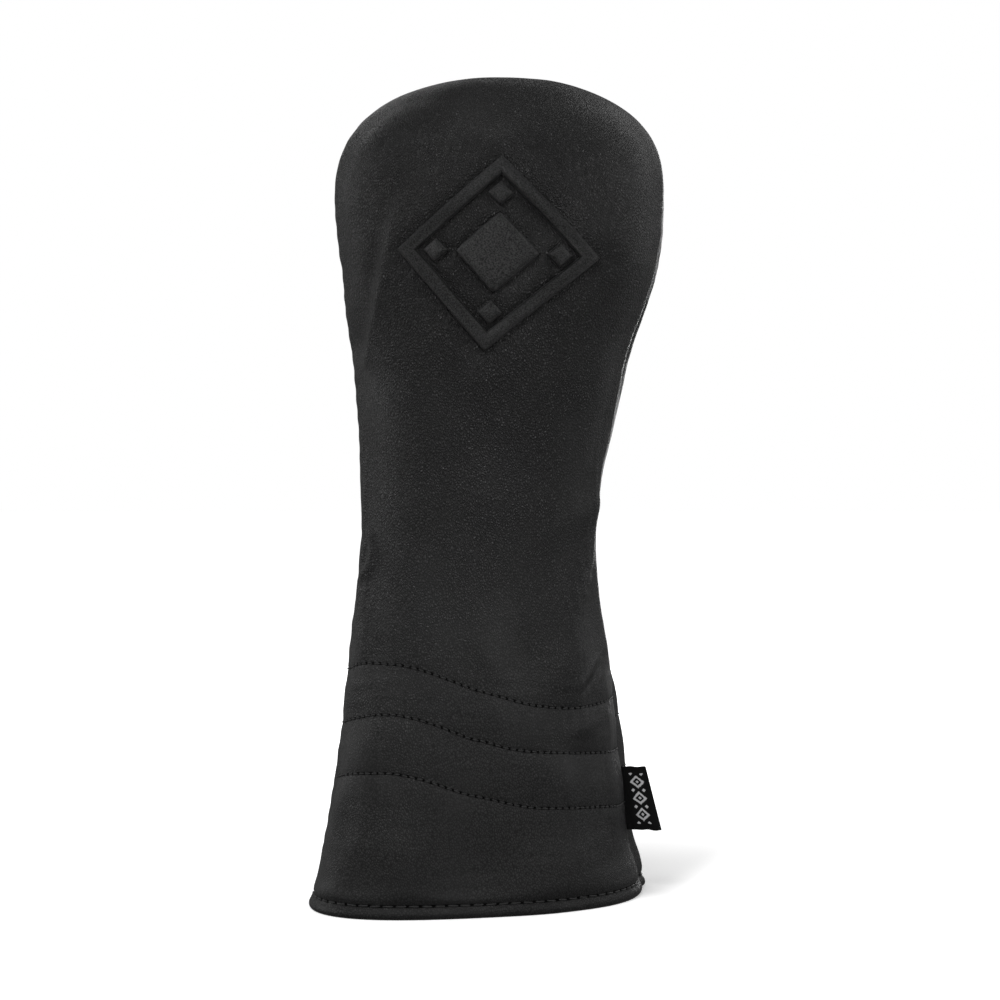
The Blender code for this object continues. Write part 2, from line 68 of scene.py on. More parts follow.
# height, half width, half depth, shift in x, shift in y per x, power of the superellipse, and the
# swelling of the back right
COLUMNS = ("z", "width", "depth", "shift", "skew", "power", "swell")
STATIONS = np.array([
    (0.0, 67.6, 52.0, -4.8, 0.24, 2.5, 2.4),
    (10.0, 65.6, 51.0, -3.4, 0.24, 2.5, 1.8),
    (35.0, 60.7, 48.5, -2.9, 0.23, 2.45, 2.6),
    (60.0, 56.8, 46.0, -3.4, 0.21, 2.4, 3.5),
    (85.0, 54.0, 43.5, -3.6, 0.17, 2.35, 1.6),
    (97.0, 52.8, 42.1, -3.75, 0.145, 2.32, -0.6),
    (110.0, 51.6, 40.5, -3.9, 0.12, 2.3, -2.2),
    (134.0, 49.1, 38.0, -3.8, 0.08, 2.25, -1.6),
    (150.0, 48.2, 37.2, -3.3, 0.06, 2.2, -0.4),
    (167.0, 49.0, 37.2, -2.8, 0.04, 2.2, 0.0),
    (191.0, 51.7, 38.4, -0.6, 0.02, 2.25, 0.4),
    (216.0, 55.2, 40.6, 0.7, 0.0, 2.3, 1.6),
    (240.0, 60.8, 42.8, 3.0, 0.0, 2.35, 2.2),
    (257.0, 64.3, 43.8, 4.5, 0.0, 2.4, 2.2),
    (273.0, 66.6, 44.0, 4.9, 0.0, 2.4, 2.0),
    (288.0, 67.3, 44.0, 4.9, 0.0, 2.4, 1.6),
    (336.0, 67.9, 44.0, 5.2, 0.0, 2.3, 0.5),
])

# height, and how far the outline is drawn in at the left and at the right
TRIM = np.array([
    (0.0, 1.53, -1.14), (3.0, 1.44, -0.86), (7.0, 1.00, -0.04), (12.0, 0.81, 0.49),
    (20.0, 0.40, 1.81), (30.0, 0.03, 1.13), (40.0, -0.23, 0.02), (50.0, -0.13, -0.62),
    (60.0, 0.24, -0.76), (70.0, 0.53, -0.93), (80.0, 0.94, -1.18), (90.0, 0.90, -1.30),
    (100.0, 0.64, -1.02), (110.0, 0.87, -0.31), (120.0, 1.01, 0.21), (130.0, 0.86, 0.30),
    (140.0, 0.87, 0.33), (150.0, 0.89, 0.35), (160.0, 0.94, 0.07), (170.0, 0.83, -0.22),
    (180.0, 0.53, -0.15), (190.0, 0.37, -0.18), (200.0, 0.24, -0.19), (210.0, 0.20, 0.07),
    (220.0, 0.15, 0.68), (230.0, -0.01, 0.86), (240.0, 0.01, 0.29), (250.0, 0.32, -0.13),
    (260.0, 1.02, -0.19), (270.0, 1.26, -0.11), (280.0, 0.93, -0.01), (290.0, 0.93, 0.08),
    (300.0, 0.74, -0.27), (310.0, 0.39, -0.62), (320.0, 0.24, -0.55), (335.0, 0.00, 0.00),
])

LEATHER = 1.2          # thickness
SEAM_HALF_GAP = 0.15   # between each panel and the seam plane
ROLL = 1.8             # radius of the leather's turn into the seam
ROLL_ANGLES = np.radians([66.4, 52.0, 37.0, 22.0, 8.0])
LIP = 3.2              # depth of the seam allowance
EDGE_COLUMNS = 2 + len(ROLL_ANGLES)
HEM_ROUND = 1.4        # outer radius of the hem's two corners
HEM_CORNER_ROWS = 5
TURNED_Z = (12.0, 9.0, 6.5, 4.2, 2.6)  # rows of the turned-in hem
HEM_ROWS = len(TURNED_Z) + 2 * HEM_CORNER_ROWS
HEM_STITCH_Z = 5.3
STITCH = 3.1
HEM_STITCH = 5.05

# quilting rows: turn on the front panel, height; the back panel mirrors them
WAVES = {
    "upper": np.array([
        (0.0, 81.3), (0.3, 80.8), (0.6, 80.2), (0.94, 79.6), (1.22, 80.8), (1.49, 85.2), (1.72, 91.4),
        (2.0, 96.4), (2.2, 97.8), (2.4, 97.8), (2.6, 96.9), (2.9, 95.0), (math.pi, 93.8)]),
    "middle": np.array([
        (0.0, 59.7), (0.3, 60.3), (0.7, 61.3), (1.1, 62.4), (1.38, 64.0), (1.58, 67.9), (1.78, 72.9),
        (2.0, 76.3), (2.16, 77.4), (2.34, 77.3), (2.56, 76.4), (2.9, 73.9), (math.pi, 72.4)]),
    "lower": np.array([
        (0.0, 37.4), (0.3, 38.4), (0.62, 39.7), (1.03, 40.6), (1.25, 41.3), (1.44, 43.6), (1.62, 47.4),
        (1.83, 51.9), (2.0, 54.3), (2.14, 55.3), (2.34, 55.1), (2.6, 54.2), (2.9, 52.4),
        (math.pi, 50.8)]),
}
ROWS = (*WAVES, "hem")
ROW_GIRTH = 55.0    # rough length of one radian of turn, for the rows' slopes
OFF_ROWS = 20.0     # map value of leather away from any row

EMBLEM_X, EMBLEM_Z = -0.2, 260.0
EMBLEM_TILT = math.radians(-2.5)
EMBLEM_COS, EMBLEM_SIN = math.cos(EMBLEM_TILT), math.sin(EMBLEM_TILT)
EMBLEM_HALF = (41.0, 39.0)
EMBLEM_BAND = 5.8
SMALL_HALF = (5.4, 5.1)
# centre and half sizes, across and up the emblem
DIAMONDS = {
    "center": (0.0, 0.0, 17.2, 16.4),
    "left": (-24.6, 0.0, *SMALL_HALF),
    "right": (24.6, 0.0, *SMALL_HALF),
    "top": (0.0, 23.4, *SMALL_HALF),
    "bottom": (0.0, -23.4, *SMALL_HALF),
}


# ---- Curves ----
def pchip_slopes(xs, ys):
    steps = np.diff(xs)
    rates = np.diff(ys) / steps
    slopes = np.zeros_like(ys)
    for i in range(1, len(xs) - 1):
        if rates[i - 1] * rates[i] > 0:
            before = 2 * steps[i] + steps[i - 1]
            after = steps[i] + 2 * steps[i - 1]
            slopes[i] = (before + after) / (before / rates[i - 1] + after / rates[i])
    slopes[0], slopes[-1] = rates[0], rates[-1]
    return slopes


def pchip(x, xs, ys):
    """Smooth curve through the points that never overshoots them."""
    slopes = pchip_slopes(xs, ys)
    x = np.clip(np.asarray(x, float), xs[0], xs[-1])
    i = np.clip(np.searchsorted(xs, x, side="right") - 1, 0, len(xs) - 2)
    step = xs[i + 1] - xs[i]
    f = (x - xs[i]) / step
    return ((1 + 2 * f) * (1 - f) ** 2 * ys[i] + f * (1 - f) ** 2 * step * slopes[i]
            + f * f * (3 - 2 * f) * ys[i + 1] + f * f * (f - 1) * step * slopes[i + 1])


def signed_power(value, power):
    return np.sign(value) * np.abs(value) ** power


def smoothstep(x, start, end):
    share = np.clip((np.asarray(x, float) - start) / (end - start), 0, 1)
    return share * share * (3 - 2 * share)


def between(x, rise, fall):
    """1 between a rise and a fall, each given by its start and its end."""
    return smoothstep(x, *rise) * (1 - smoothstep(x, *fall))


def bell(x, width):
    return np.exp(-(x / width) ** 2)


def quarter_round(share):
    """A quarter circle's height, from 0 to 1."""
    return np.sqrt(np.clip(1 - (1 - np.clip(share, 0, 1)) ** 2, 0, 1))


def unit(vectors, least=1e-12):
    return vectors / np.maximum(np.linalg.norm(vectors, axis=-1, keepdims=True), least)


def run_length(points):
    """Distance along a line of points, at each of them."""
    return np.append(0.0, np.cumsum(np.linalg.norm(np.diff(points, axis=0), axis=1)))


# ---- The plain outer surface ----
def station(z, column):
    return pchip(z, STATIONS[:, 0], STATIONS[:, COLUMNS.index(column)])


def cap(z, start, power):
    share = np.clip((np.asarray(z, float) - start) / (HEIGHT - start), 0, 1)
    return np.maximum(1 - share ** power, 0) ** (1 / power)


def half_width(z):
    return station(z, "width") * cap(z, WIDEST_Z, CAP_WIDTH_POWER)


def half_depth(z):
    return station(z, "depth") * cap(z, DEEPEST_Z, CAP_DEPTH_POWER)


def skin(turn, z, side):
    """A point of the pattern: a symmetrical cover, before place() stands it up."""
    turn, z = np.broadcast_arrays(np.asarray(turn, float), np.asarray(z, float))
    power = 2 / station(z, "power")
    return np.stack([half_width(z) * signed_power(np.cos(turn), power),
                     side * half_depth(z) * signed_power(np.sin(turn), power), z], -1)


def skin_normal(turn, z, side):
    """Outward; level at the hem, so that nothing there leaves its height."""
    turn, z = np.broadcast_arrays(np.asarray(turn, float), np.asarray(z, float))
    inner_z = np.clip(z, 0.02, HEIGHT - 1.2e-3)
    step = np.minimum(0.02, (HEIGHT - inner_z) * 0.2)
    along_turn = skin(turn + 1e-3, inner_z, side) - skin(turn - 1e-3, inner_z, side)
    along_z = skin(turn, inner_z + step, side) - skin(turn, inner_z - step, side)
    normal = unit(np.cross(along_turn, along_z))
    outward = skin(turn, z, side) * np.array([1.0, 1.0, 0.0]) + np.array([0.0, 0.0, 1e-3])
    normal *= np.where((normal * outward).sum(-1, keepdims=True) < 0, -1, 1)
    level = np.stack([np.ones_like(z), np.ones_like(z), smoothstep(z, 2.0, 20.0)], -1)
    return unit(normal * level)


def place(points):
    """From the pattern to the standing cover: trimmed outline, shift, skew and swelling."""
    points = np.asarray(points, float)
    x, y, z = points[..., 0], points[..., 1], np.clip(points[..., 2], 0, HEIGHT)
    width = half_width(np.minimum(z, WIDEST_Z))
    share = np.clip(np.abs(x) / width, 0, 1)
    trim = np.where(x < 0, pchip(z, TRIM[:, 0], TRIM[:, 1]), pchip(z, TRIM[:, 0], TRIM[:, 2]))
    x = x - np.sign(x) * share ** 1.5 * trim
    right = np.clip(x / width, 0, 1) ** 2
    behind = smoothstep(y, 0.0, 10.0)
    swell = (station(z, "swell") + 2.0 * bell(z - 17.0, width=10.0)) * right * behind
    return np.stack([x + station(z, "shift") + swell - CENTRE_X,
                     y + station(z, "skew") * x - CENTRE_Y, points[..., 2]], -1)


def turn_of_y(y, z):
    """The turn, near the right seam, that lies y off the seam plane."""
    depth = np.maximum(half_depth(z), 1e-6)
    return np.arcsin(np.clip(np.clip(y / depth, 0, 1) ** (station(z, "power") / 2), 0, 1))


# ---- Smooth seeded noise ----
def lattice(cell, seed):
    mixed = (cell[..., 0] * 374761393 + cell[..., 1] * 668265263 + cell[..., 2] * 2147483647
             + seed * 974634777) & 0xFFFFFFFF
    mixed = ((mixed ^ (mixed >> 13)) * 1274126177) & 0xFFFFFFFF
    return ((mixed ^ (mixed >> 16)) & 0xFFFF) / 32767.5 - 1.0


def noise(points, scale, seed):
    """Value noise with features about scale millimetres across, between -1 and 1."""
    scaled = np.asarray(points, float) / scale
    cell = np.floor(scaled).astype(np.int64)
    share = scaled - cell
    share = share * share * share * (share * (share * 6 - 15) + 10)
    total = 0.0
    for corner in np.ndindex(2, 2, 2):
        weight = np.prod(np.where(corner, share, 1 - share), axis=-1)
        total = total + weight * lattice(cell + np.array(corner), seed)
    return total


# ---- Stitch rows ----
def front_turn(turn, side):
    return turn if side < 0 else math.pi - turn


def row_height(line, turn, side):
    if line == "hem":
        return np.full(np.shape(turn), HEM_STITCH_Z)
    return pchip(front_turn(turn, side), WAVES[line][:, 0], WAVES[line][:, 1])


def row_offset(line, turn, z, side):
    """Distance above a row, square to it."""
    off = z - row_height(line, turn, side)
    if line == "hem":
        return off
    turns, heights = WAVES[line].T
    slope = np.interp(front_turn(turn, side), turns, np.gradient(heights, turns)) / ROW_GIRTH
    return off / np.sqrt(1 + slope ** 2)


def row_table(line, side):
    """Distance along a row from the right seam, tabulated against turn."""
    turn = np.linspace(0, math.pi, 1601)
    length = run_length(place(skin(turn, row_height(line, turn, side), side)))
    if line == "hem":
        # counted so that each of the hem's longer stitches is one STITCH
        length = length * STITCH / HEM_STITCH
    return turn, length


ROW_TABLES = {(line, side): row_table(line, side) for side in (-1, 1) for line in ROWS}


def stitch_rhythm(line, turn, side, hole_width):
    """The holes of a row, 1 at each, and the swing from -1 there to 1 in mid stitch."""
    phase = (np.interp(turn, *ROW_TABLES[line, side]) / STITCH) % 1.0
    hole = bell(np.minimum(phase, 1 - phase) * STITCH, hole_width)
    return hole, -np.cos(2 * math.pi * phase)


def row_map(turn, z, side):
    """Millimetres along the nearest stitch row, and off it."""
    best_off = np.full(np.shape(z), 1e9)
    best_along = np.zeros(np.shape(z))
    for line in ROWS:
        off = row_offset(line, turn, z, side)
        along = np.interp(turn, *ROW_TABLES[line, side])
        closer = np.abs(off) < np.abs(best_off)
        best_off = np.where(closer, off, best_off)
        best_along = np.where(closer, along, best_along)
    return np.stack([best_along, np.clip(best_off, -OFF_ROWS, OFF_ROWS)], -1)


# ---- Relief of the leather ----
# Folds: path in (x, z), height, half width, and where along it the fold has risen and starts to fall
FRONT_FOLDS = [
    # broad ridge down the left of the throat
    ([(-39.7, 233.9), (-32.7, 216.6), (-26.4, 193.8), (-23.6, 170.3), (-28.7, 144.7)],
     1.0, 8.0, 0.15, 0.75),
    # ridge in from the right at the narrowest place
    ([(46.7, 163.2), (34.5, 156.5), (20.7, 146.7), (7.0, 142.0)], 0.85, 5.5, 0.1, 0.5),
    # ridge above the upper row, on the left
    ([(-53.7, 106.8), (-42.6, 111.6), (-29.9, 106.8)], 0.7, 7.0, 0.1, 0.6),
    # low fold under the head, on the right
    ([(50.8, 229.5), (44.5, 205.0), (40.6, 182.1), (28.7, 162.4)], 0.75, 6.0, 0.2, 0.5),
    # drag line across the middle
    ([(-22.3, 154.6), (-6.7, 139.0), (-4.3, 123.3), (-5.1, 107.7), (5.0, 92.1), (22.6, 88.2)],
     0.75, 4.6, 0.25, 0.6),
    # soft folds over the hem, on the right and on the left
    ([(20.6, 19.5), (36.1, 21.8), (50.9, 26.5)], 0.6, 7.0, 0.3, 0.9),
    ([(-61.0, 29.6), (-44.7, 25.7), (-26.0, 28.0)], 0.5, 7.0, 0.3, 0.7),
    # short fold on the right, between the middle and the upper row
    ([(28.6, 67.4), (40.4, 72.1), (49.0, 79.1)], 0.5, 4.0, 0.2, 0.9),
]
BACK_FOLDS = [  # three above the throat and one below it
    ([(-24.0, 175.0), (-34.0, 214.0)], 0.5, 7.0, 0.4, 0.6),
    ([(6.0, 172.0), (2.0, 220.0)], 0.45, 8.0, 0.4, 0.6),
    ([(30.0, 176.0), (38.0, 212.0)], 0.5, 6.0, 0.4, 0.6),
    ([(-18.0, 128.0), (-22.0, 104.0)], 0.45, 7.0, 0.4, 0.6),
]
HEAD_FOLD = [(-52.4, 213.6), (-50.0, 220.3), (-48.4, 228.6), (-46.6, 236.7), (-44.2, 249.1),
             (-40.9, 261.8), (-38.1, 273.3), (-34.2, 284.1)]
HEAD_HOLLOW = [(-50.5, 240.0), (-49.2, 256.0), (-48.6, 268.0), (-47.4, 284.0), (-44.0, 301.0)]
THROAT_FOLD = [(-50.6, 128.6), (-48.6, 133.4), (-47.0, 137.8), (-46.4, 142.5), (-47.3, 147.7),
               (-49.4, 152.2)]
SEAM_CREASE = [(33.0, 84.5), (38.0, 87.5), (43.0, 92.0), (46.5, 98.0)]
THROAT_Z = 150.0


def path_distance(x, z, path):
    """Distance to a path in (x, z), positive right of the way along it, and how far along (0 to 1)."""
    path = np.array(path, float)
    starts = run_length(path)
    best = np.full(np.shape(x), 1e9)
    signed = np.zeros(np.shape(x))
    along = np.zeros(np.shape(x))
    for begin, end, start in zip(path[:-1], path[1:], starts):
        length = np.linalg.norm(end - begin)
        way = (end - begin) / length
        reach = np.clip((x - begin[0]) * way[0] + (z - begin[1]) * way[1], 0, length)
        off_x = x - begin[0] - reach * way[0]
        off_z = z - begin[1] - reach * way[1]
        distance = np.hypot(off_x, off_z)
        closer = distance < best
        best = np.where(closer, distance, best)
        signed = np.where(closer, np.sign(way[1] * off_x - way[0] * off_z) * distance, signed)
        along = np.where(closer, (start + reach) / starts[-1], along)
    return signed, along


def folds(table, x, z):
    total = 0.0
    for path, height, width, rise, fall in table:
        off, along = path_distance(x, z, path)
        total = total + height * bell(off, width) * between(along, (0.0, rise), (fall, 1.0))
    return total


def padding_swell(spot):
    """Soft unevenness of the padding, shared by every layer."""
    return 0.55 * noise(spot, scale=46.0, seed=3) + 0.28 * noise(spot, scale=21.0, seed=5)


def quilting_relief(turn, z, side, near, inside):
    total = 0.0
    for line in WAVES:
        off = row_offset(line, turn, z, side)
        hole, rise = stitch_rhythm(line, turn, side, hole_width=0.55)
        channel = 0.26 * bell(off, width=3.8) + 0.16 * bell(off, width=1.1)
        holes = 0.30 * hole * bell(off, width=0.7)
        puckers = 0.10 * rise * (bell(off - 1.3, width=1.0) + bell(off + 1.3, width=1.0))
        total = total + near * (puckers - channel - holes)
    # the leather is fuller half way between the rows
    for low, high in (("lower", "middle"), ("middle", "upper")):
        middle = (row_height(low, turn, side) + row_height(high, turn, side)) / 2
        total = total + inside * 0.30 * bell(z - middle, width=6.5)
    return total


def hem_relief(turn, z, side, near, spot):
    """A full band under the topstitching, its channel, and a low swelling above it."""
    hole, rise = stitch_rhythm("hem", turn, side, hole_width=0.6)
    off = z - HEM_STITCH_Z
    band = 0.62 * bell(z - 2.4, width=1.7) * smoothstep(z, 0.0, 1.2)
    channel = (0.50 + 0.25 * hole) * bell(off, width=0.75) + 0.25 * bell(off, width=2.6)
    stretched = noise(spot * np.array([1, 1, 0.2]), scale=14.0, seed=11)
    above = 0.28 * bell(z - 8.4, width=2.4) * (1 + 0.3 * stretched)
    puckers = 0.07 * rise * bell(z - 3.4, width=1.6)
    return near * (band - channel + above + puckers)


def seam_relief(x, y, z, side, spot):
    """Short, soft ripples beside the seams, calmer at the front right, and fullness next to them."""
    calm = np.where((x > 0) & (side < 0), 0.25, 1.0)
    ripple = np.sin(2 * math.pi * z / 8.3 + 2.2 * noise(spot, scale=17.0, seed=21) + side)
    ripple = ripple * (0.6 + 0.4 * noise(spot, scale=33.0, seed=23))
    ripple = 0.16 * ripple * bell(y - 3.0, width=3.4) * smoothstep(z, 12, 25)
    full = 0.35 * bell(y - 5.0, width=4.5) * smoothstep(z, 14, 30) * smoothstep(HEIGHT - z, 4, 30)
    return calm * (ripple + full)


def head_fold_relief(x, y, z):
    """Fold down the left of the head: a ridge that sharpens downwards, with a valley outside it."""
    off, along = path_distance(x, z, HEAD_FOLD)
    width = 1.3 + 2.6 * smoothstep(along, 0.1, 0.75)
    life = between(along, (0.0, 0.12), (0.62, 1.0))
    step = smoothstep(off, -0.8 * width, 0.7 * width) * np.exp(-np.maximum(off, 0.0) / 8.0)
    total = (1.9 + 0.9 * smoothstep(along, 0.0, 0.5)) * step * life
    total += 0.3 * bell(off, width=1.3) * life
    valley = smoothstep(along, 0.0, 0.2) * (1 - 0.5 * smoothstep(along, 0.5, 1.0))
    total -= 2.0 * bell(off + 4.8, width=4.0) * valley * smoothstep(y, 1.0, 6.0)
    # a fainter line beside it
    total += 0.45 * bell(off + 2.6, width=1.2) * between(along, (0.25, 0.4), (0.5, 0.7))
    # hollow that carries the valley on up beside the emblem, inside the full left edge
    off, along = path_distance(x, z, HEAD_HOLLOW)
    total -= 1.25 * bell(off, width=7.0) * between(along, (0.0, 0.3), (0.65, 1.0))
    edge = between(along, (0.1, 0.4), (0.7, 1.0)) * smoothstep(y, 1.0, 5.0)
    return total + 0.8 * bell(off + 11.5, width=5.0) * edge


def throat_relief(x, y, z):
    """Fold in the left of the throat, bowed to the right; crease up to the right seam."""
    off, along = path_distance(x, z, THROAT_FOLD)
    life = between(along, (0.0, 0.25), (0.75, 1.0)) * bell(off, width=7.0)
    ridge = 1.8 * bell(off - 0.9, width=1.5) - 1.8 * bell(off + 1.8, width=1.6)
    total = ridge * life * smoothstep(y, 2.5, 9.0)
    off, along = path_distance(x, z, SEAM_CREASE)
    life = smoothstep(along, 0.0, 0.5) * (1 - smoothstep(along, 0.8, 1.0) * 0.4)
    ridge = 0.7 * bell(off + 1.2, width=1.7) - 0.6 * bell(off - 1.6, width=1.6)
    return total + ridge * life * bell(off, width=6.0)


def diamond_distance(across, up, half_across, half_up):
    """Roughly the distance outside a diamond's edge; negative inside."""
    size = np.abs(across) / half_across + np.abs(up) / half_up - 1
    return size / math.hypot(1 / half_across, 1 / half_up)


def emblem_relief(x, z):
    """The embroidery sinks into the padding and draws the leather down round it."""
    off_x, off_z = x - EMBLEM_X, z - EMBLEM_Z
    across = EMBLEM_COS * off_x + EMBLEM_SIN * off_z
    up = -EMBLEM_SIN * off_x + EMBLEM_COS * off_z
    outside = diamond_distance(across, up, *EMBLEM_HALF)
    gap = np.maximum(np.maximum(outside, -EMBLEM_BAND - outside), 0.0)
    for centre_across, centre_up, *half in DIAMONDS.values():
        gap = np.minimum(gap, np.maximum(
            diamond_distance(across - centre_across, up - centre_up, *half), 0.0))
    ring = 0.55 * bell(np.maximum(outside, 0) - 9.0, width=6.0) * (outside > 0)
    return ring - 0.55 * bell(gap, width=2.6) - 0.35 * bell(gap, width=0.9)


def front_relief(x, y, z, spot_x):
    # pillow inside the drag line, and a fuller patch above the hem
    pillow = 0.7 * bell(spot_x - 14.0, width=17.0) * bell(z - 112.0, width=17.0)
    patch = 0.5 * bell(spot_x - 38.0, width=20.0) * bell(z - 20.0, width=11.0)
    return (head_fold_relief(spot_x, y, z) + throat_relief(spot_x, y, z)
            + folds(FRONT_FOLDS, spot_x, z) + pillow + patch + emblem_relief(x, z))


def back_relief(x, y, z, spot):
    """Gathers over the throat elastic, and the folds above and below them."""
    across = smoothstep(y, 4.0, 12.0)
    off = z - THROAT_Z
    gather = np.sin(x / 1.55 + 1.4 * noise(spot, scale=19.0, seed=31))
    uneven = 0.75 + 0.25 * noise(spot, scale=12.0, seed=33)
    gathers = 0.32 * bell(off, width=9.0) * gather * uneven
    ends = 0.12 * gather * bell(np.abs(off) - 14.0, width=7.0)
    drawn_in = 0.9 * bell(off, width=11.0)
    return across * (gathers + ends - drawn_in) + folds(BACK_FOLDS, spot[..., 0], z)


def relief(turn, z, side):
    """How far the leather stands above the plain surface."""
    turn, z = np.broadcast_arrays(np.asarray(turn, float), np.asarray(z, float))
    points = skin(turn, z, side)
    x, y = points[..., 0], np.abs(points[..., 1])
    spot = place(points)
    inside = smoothstep(y, 0.6, 5.0)
    near = smoothstep(y, 0.3, 2.0)
    total = inside * (padding_swell(spot) + 0.07 * noise(spot, scale=8.0, seed=7))
    total = total + quilting_relief(turn, z, side, near, inside)
    total = total + hem_relief(turn, z, side, near, spot) + seam_relief(x, y, z, side, spot)
    if side < 0:
        total = total + front_relief(x, y, z, spot[..., 0])
    else:
        total = total + back_relief(x, y, z, spot)
    # nothing moves where the two panels meet over the crown
    return total * smoothstep(HEIGHT - z, 0.0, 1.5)


def soft_relief(turn, z, side):
    """The broad part of the leather's relief, which the layers under it share."""
    points = skin(turn, z, side)
    low = smoothstep(np.abs(points[..., 1]), 0.6, 5.0) * padding_swell(place(points))
    return np.minimum(low, relief(turn, z, side)) * 0.9 - 0.1


# ---- Drape: a coarse cloth of both panels, pinned at the hem and the seams and blown a little ----
DRAPE_Z = np.concatenate([np.arange(0.0, 282.0, 6.0), np.array([
    286.0, 292.0, 298.0, 304.0, 309.5, 315.0, 320.0, 324.5, 328.0, 331.0, 333.2])])
DRAPE_COLUMNS = 33
DRAPE_ROUND = 2 * (DRAPE_COLUMNS - 1)
DRAPE_CAP = 2.6     # no point moves farther
DRAPE_SCALE = 10    # the cloth is simulated this many times life size
DRAPE_FRAMES = 24


def drape_cloth(points):
    """The cloth object, from the rows of points."""
    rows, count = len(DRAPE_Z), DRAPE_ROUND
    crown = place(np.array([[0.0, 0.0, HEIGHT]]))
    faces = [(i * count + j, i * count + (j + 1) % count,
              (i + 1) * count + (j + 1) % count, (i + 1) * count + j)
             for i in range(rows - 1) for j in range(count)]
    faces += [((rows - 1) * count + j, (rows - 1) * count + (j + 1) % count, len(points))
              for j in range(count)]
    mesh = bpy.data.meshes.new("drape")
    scaled = np.vstack([points, crown]) / 1000 * DRAPE_SCALE
    mesh.from_pydata([tuple(point) for point in scaled], [], faces)
    obj = bpy.data.objects.new("drape", mesh)
    bpy.context.scene.collection.objects.link(obj)
    pins = obj.vertex_groups.new(name="pins")
    for i in range(rows):
        for j in range(count):
            on_seam = min(j, count - j) in (0, DRAPE_COLUMNS - 1)
            weight = 0.35 if DRAPE_Z[i] < 100 else 0.0
            if on_seam or DRAPE_Z[i] < 7:
                weight = 1.0
            if weight:
                pins.add([i * count + j], weight, "REPLACE")
    pins.add([len(points)], 1.0, "REPLACE")
    cloth = obj.modifiers.new("cloth", "CLOTH")
    settings = cloth.settings
    settings.quality = 8
    settings.mass = 0.4
    settings.tension_stiffness = 25.0
    settings.compression_stiffness = 25.0
    settings.shear_stiffness = 12.0
    settings.bending_stiffness = 1.2
    settings.vertex_group_mass = "pins"
    settings.pin_stiffness = 1.0
    settings.shrink_min = -0.02
    settings.use_pressure = True
    settings.uniform_pressure_force = 0.6
    settings.effector_weights.gravity = 0.25
    cloth.collision_settings.use_collision = False
    cloth.collision_settings.use_self_collision = False
    cloth.point_cache.frame_start = 1
    cloth.point_cache.frame_end = DRAPE_FRAMES
    return obj


def drape():
    """How far the cloth has moved, row by row, for each side."""
    turn = np.linspace(0, math.pi, DRAPE_COLUMNS)
    rows = []
    for z in DRAPE_Z:
        front, back = place(skin(turn, z, -1)), place(skin(turn, z, 1))
        rows.append(np.concatenate([front, back[-2:0:-1]]))
    points = np.array(rows).reshape(-1, 3)
    obj = drape_cloth(points)
    for number in range(1, DRAPE_FRAMES + 1):
        bpy.context.scene.frame_set(number)
    done = obj.evaluated_get(bpy.context.evaluated_depsgraph_get())
    moved = np.array([vertex.co for vertex in done.data.vertices]) * 1000 / DRAPE_SCALE
    bpy.context.scene.frame_set(1)
    bpy.data.objects.remove(obj)
    shift = (moved[:-1] - points).reshape(len(DRAPE_Z), DRAPE_ROUND, 3)
    for _ in range(2):
        ring = (np.roll(shift, 1, 1) + 2 * shift + np.roll(shift, -1, 1)) / 4
        middle = (ring[:-2] + 2 * ring[1:-1] + ring[2:]) / 4
        shift = np.concatenate([ring[:1], middle, ring[-1:]])
    shift[DRAPE_Z < 7] = 0
    size = np.linalg.norm(shift, axis=-1, keepdims=True)
    capped = DRAPE_CAP * np.tanh(size / DRAPE_CAP) / np.maximum(size, 1e-9)
    shift *= np.where(size > 1e-9, capped, 1.0)
    back = np.concatenate([shift[:, :1], shift[:, :DRAPE_COLUMNS - 2:-1]], axis=1)
    return {-1: shift[:, :DRAPE_COLUMNS], 1: back}


drape_shift = drape()


def drape_at(turn, z, side):
    if side not in drape_shift:
        return 0.0
    table = drape_shift[side]
    turn, z = np.broadcast_arrays(np.asarray(turn, float), np.asarray(z, float))
    row = np.interp(z, DRAPE_Z, np.arange(len(DRAPE_Z)))
    column = np.clip(turn / math.pi, 0, 1) * (DRAPE_COLUMNS - 1)
    i = np.clip(np.floor(row).astype(int), 0, len(DRAPE_Z) - 2)
    j = np.clip(np.floor(column).astype(int), 0, DRAPE_COLUMNS - 2)
    up = smoothstep(row - i, 0, 1)[..., None]
    across = smoothstep(column - j, 0, 1)[..., None]
    y = np.abs(skin(turn, z, side)[..., 1])
    fade = (smoothstep(y, 1.0, 18.0) * smoothstep(HEIGHT - z, 1.5, 12.0))[..., None]
    low = (1 - across) * table[i, j] + across * table[i, j + 1]
    high = (1 - across) * table[i + 1, j] + across * table[i + 1, j + 1]
    return fade * ((1 - up) * low + up * high)


def draped(turn, z, side, lift):
    """A point of the standing cover, lift above the plain surface."""
    raised = skin(turn, z, side) + skin_normal(turn, z, side) * np.asarray(lift)[..., None]
    return place(raised) + drape_at(turn, z, side)


def in_seam_plane(normal):
    return unit(normal * np.array([1.0, 0.0, 1.0]), least=1e-9)


def surface(turn, z, side, depth=0.0, seam_depth=0.0):
    """A point depth below the leather's outer face, and seam_depth in along the seam's plane."""
    normal = skin_normal(turn, z, side)
    points = skin(turn, z, side) + normal * (relief(turn, z, side) - depth)[..., None]
    points = points - in_seam_plane(normal) * np.asarray(seam_depth)[..., None]
    return place(points) + drape_at(turn, z, side)


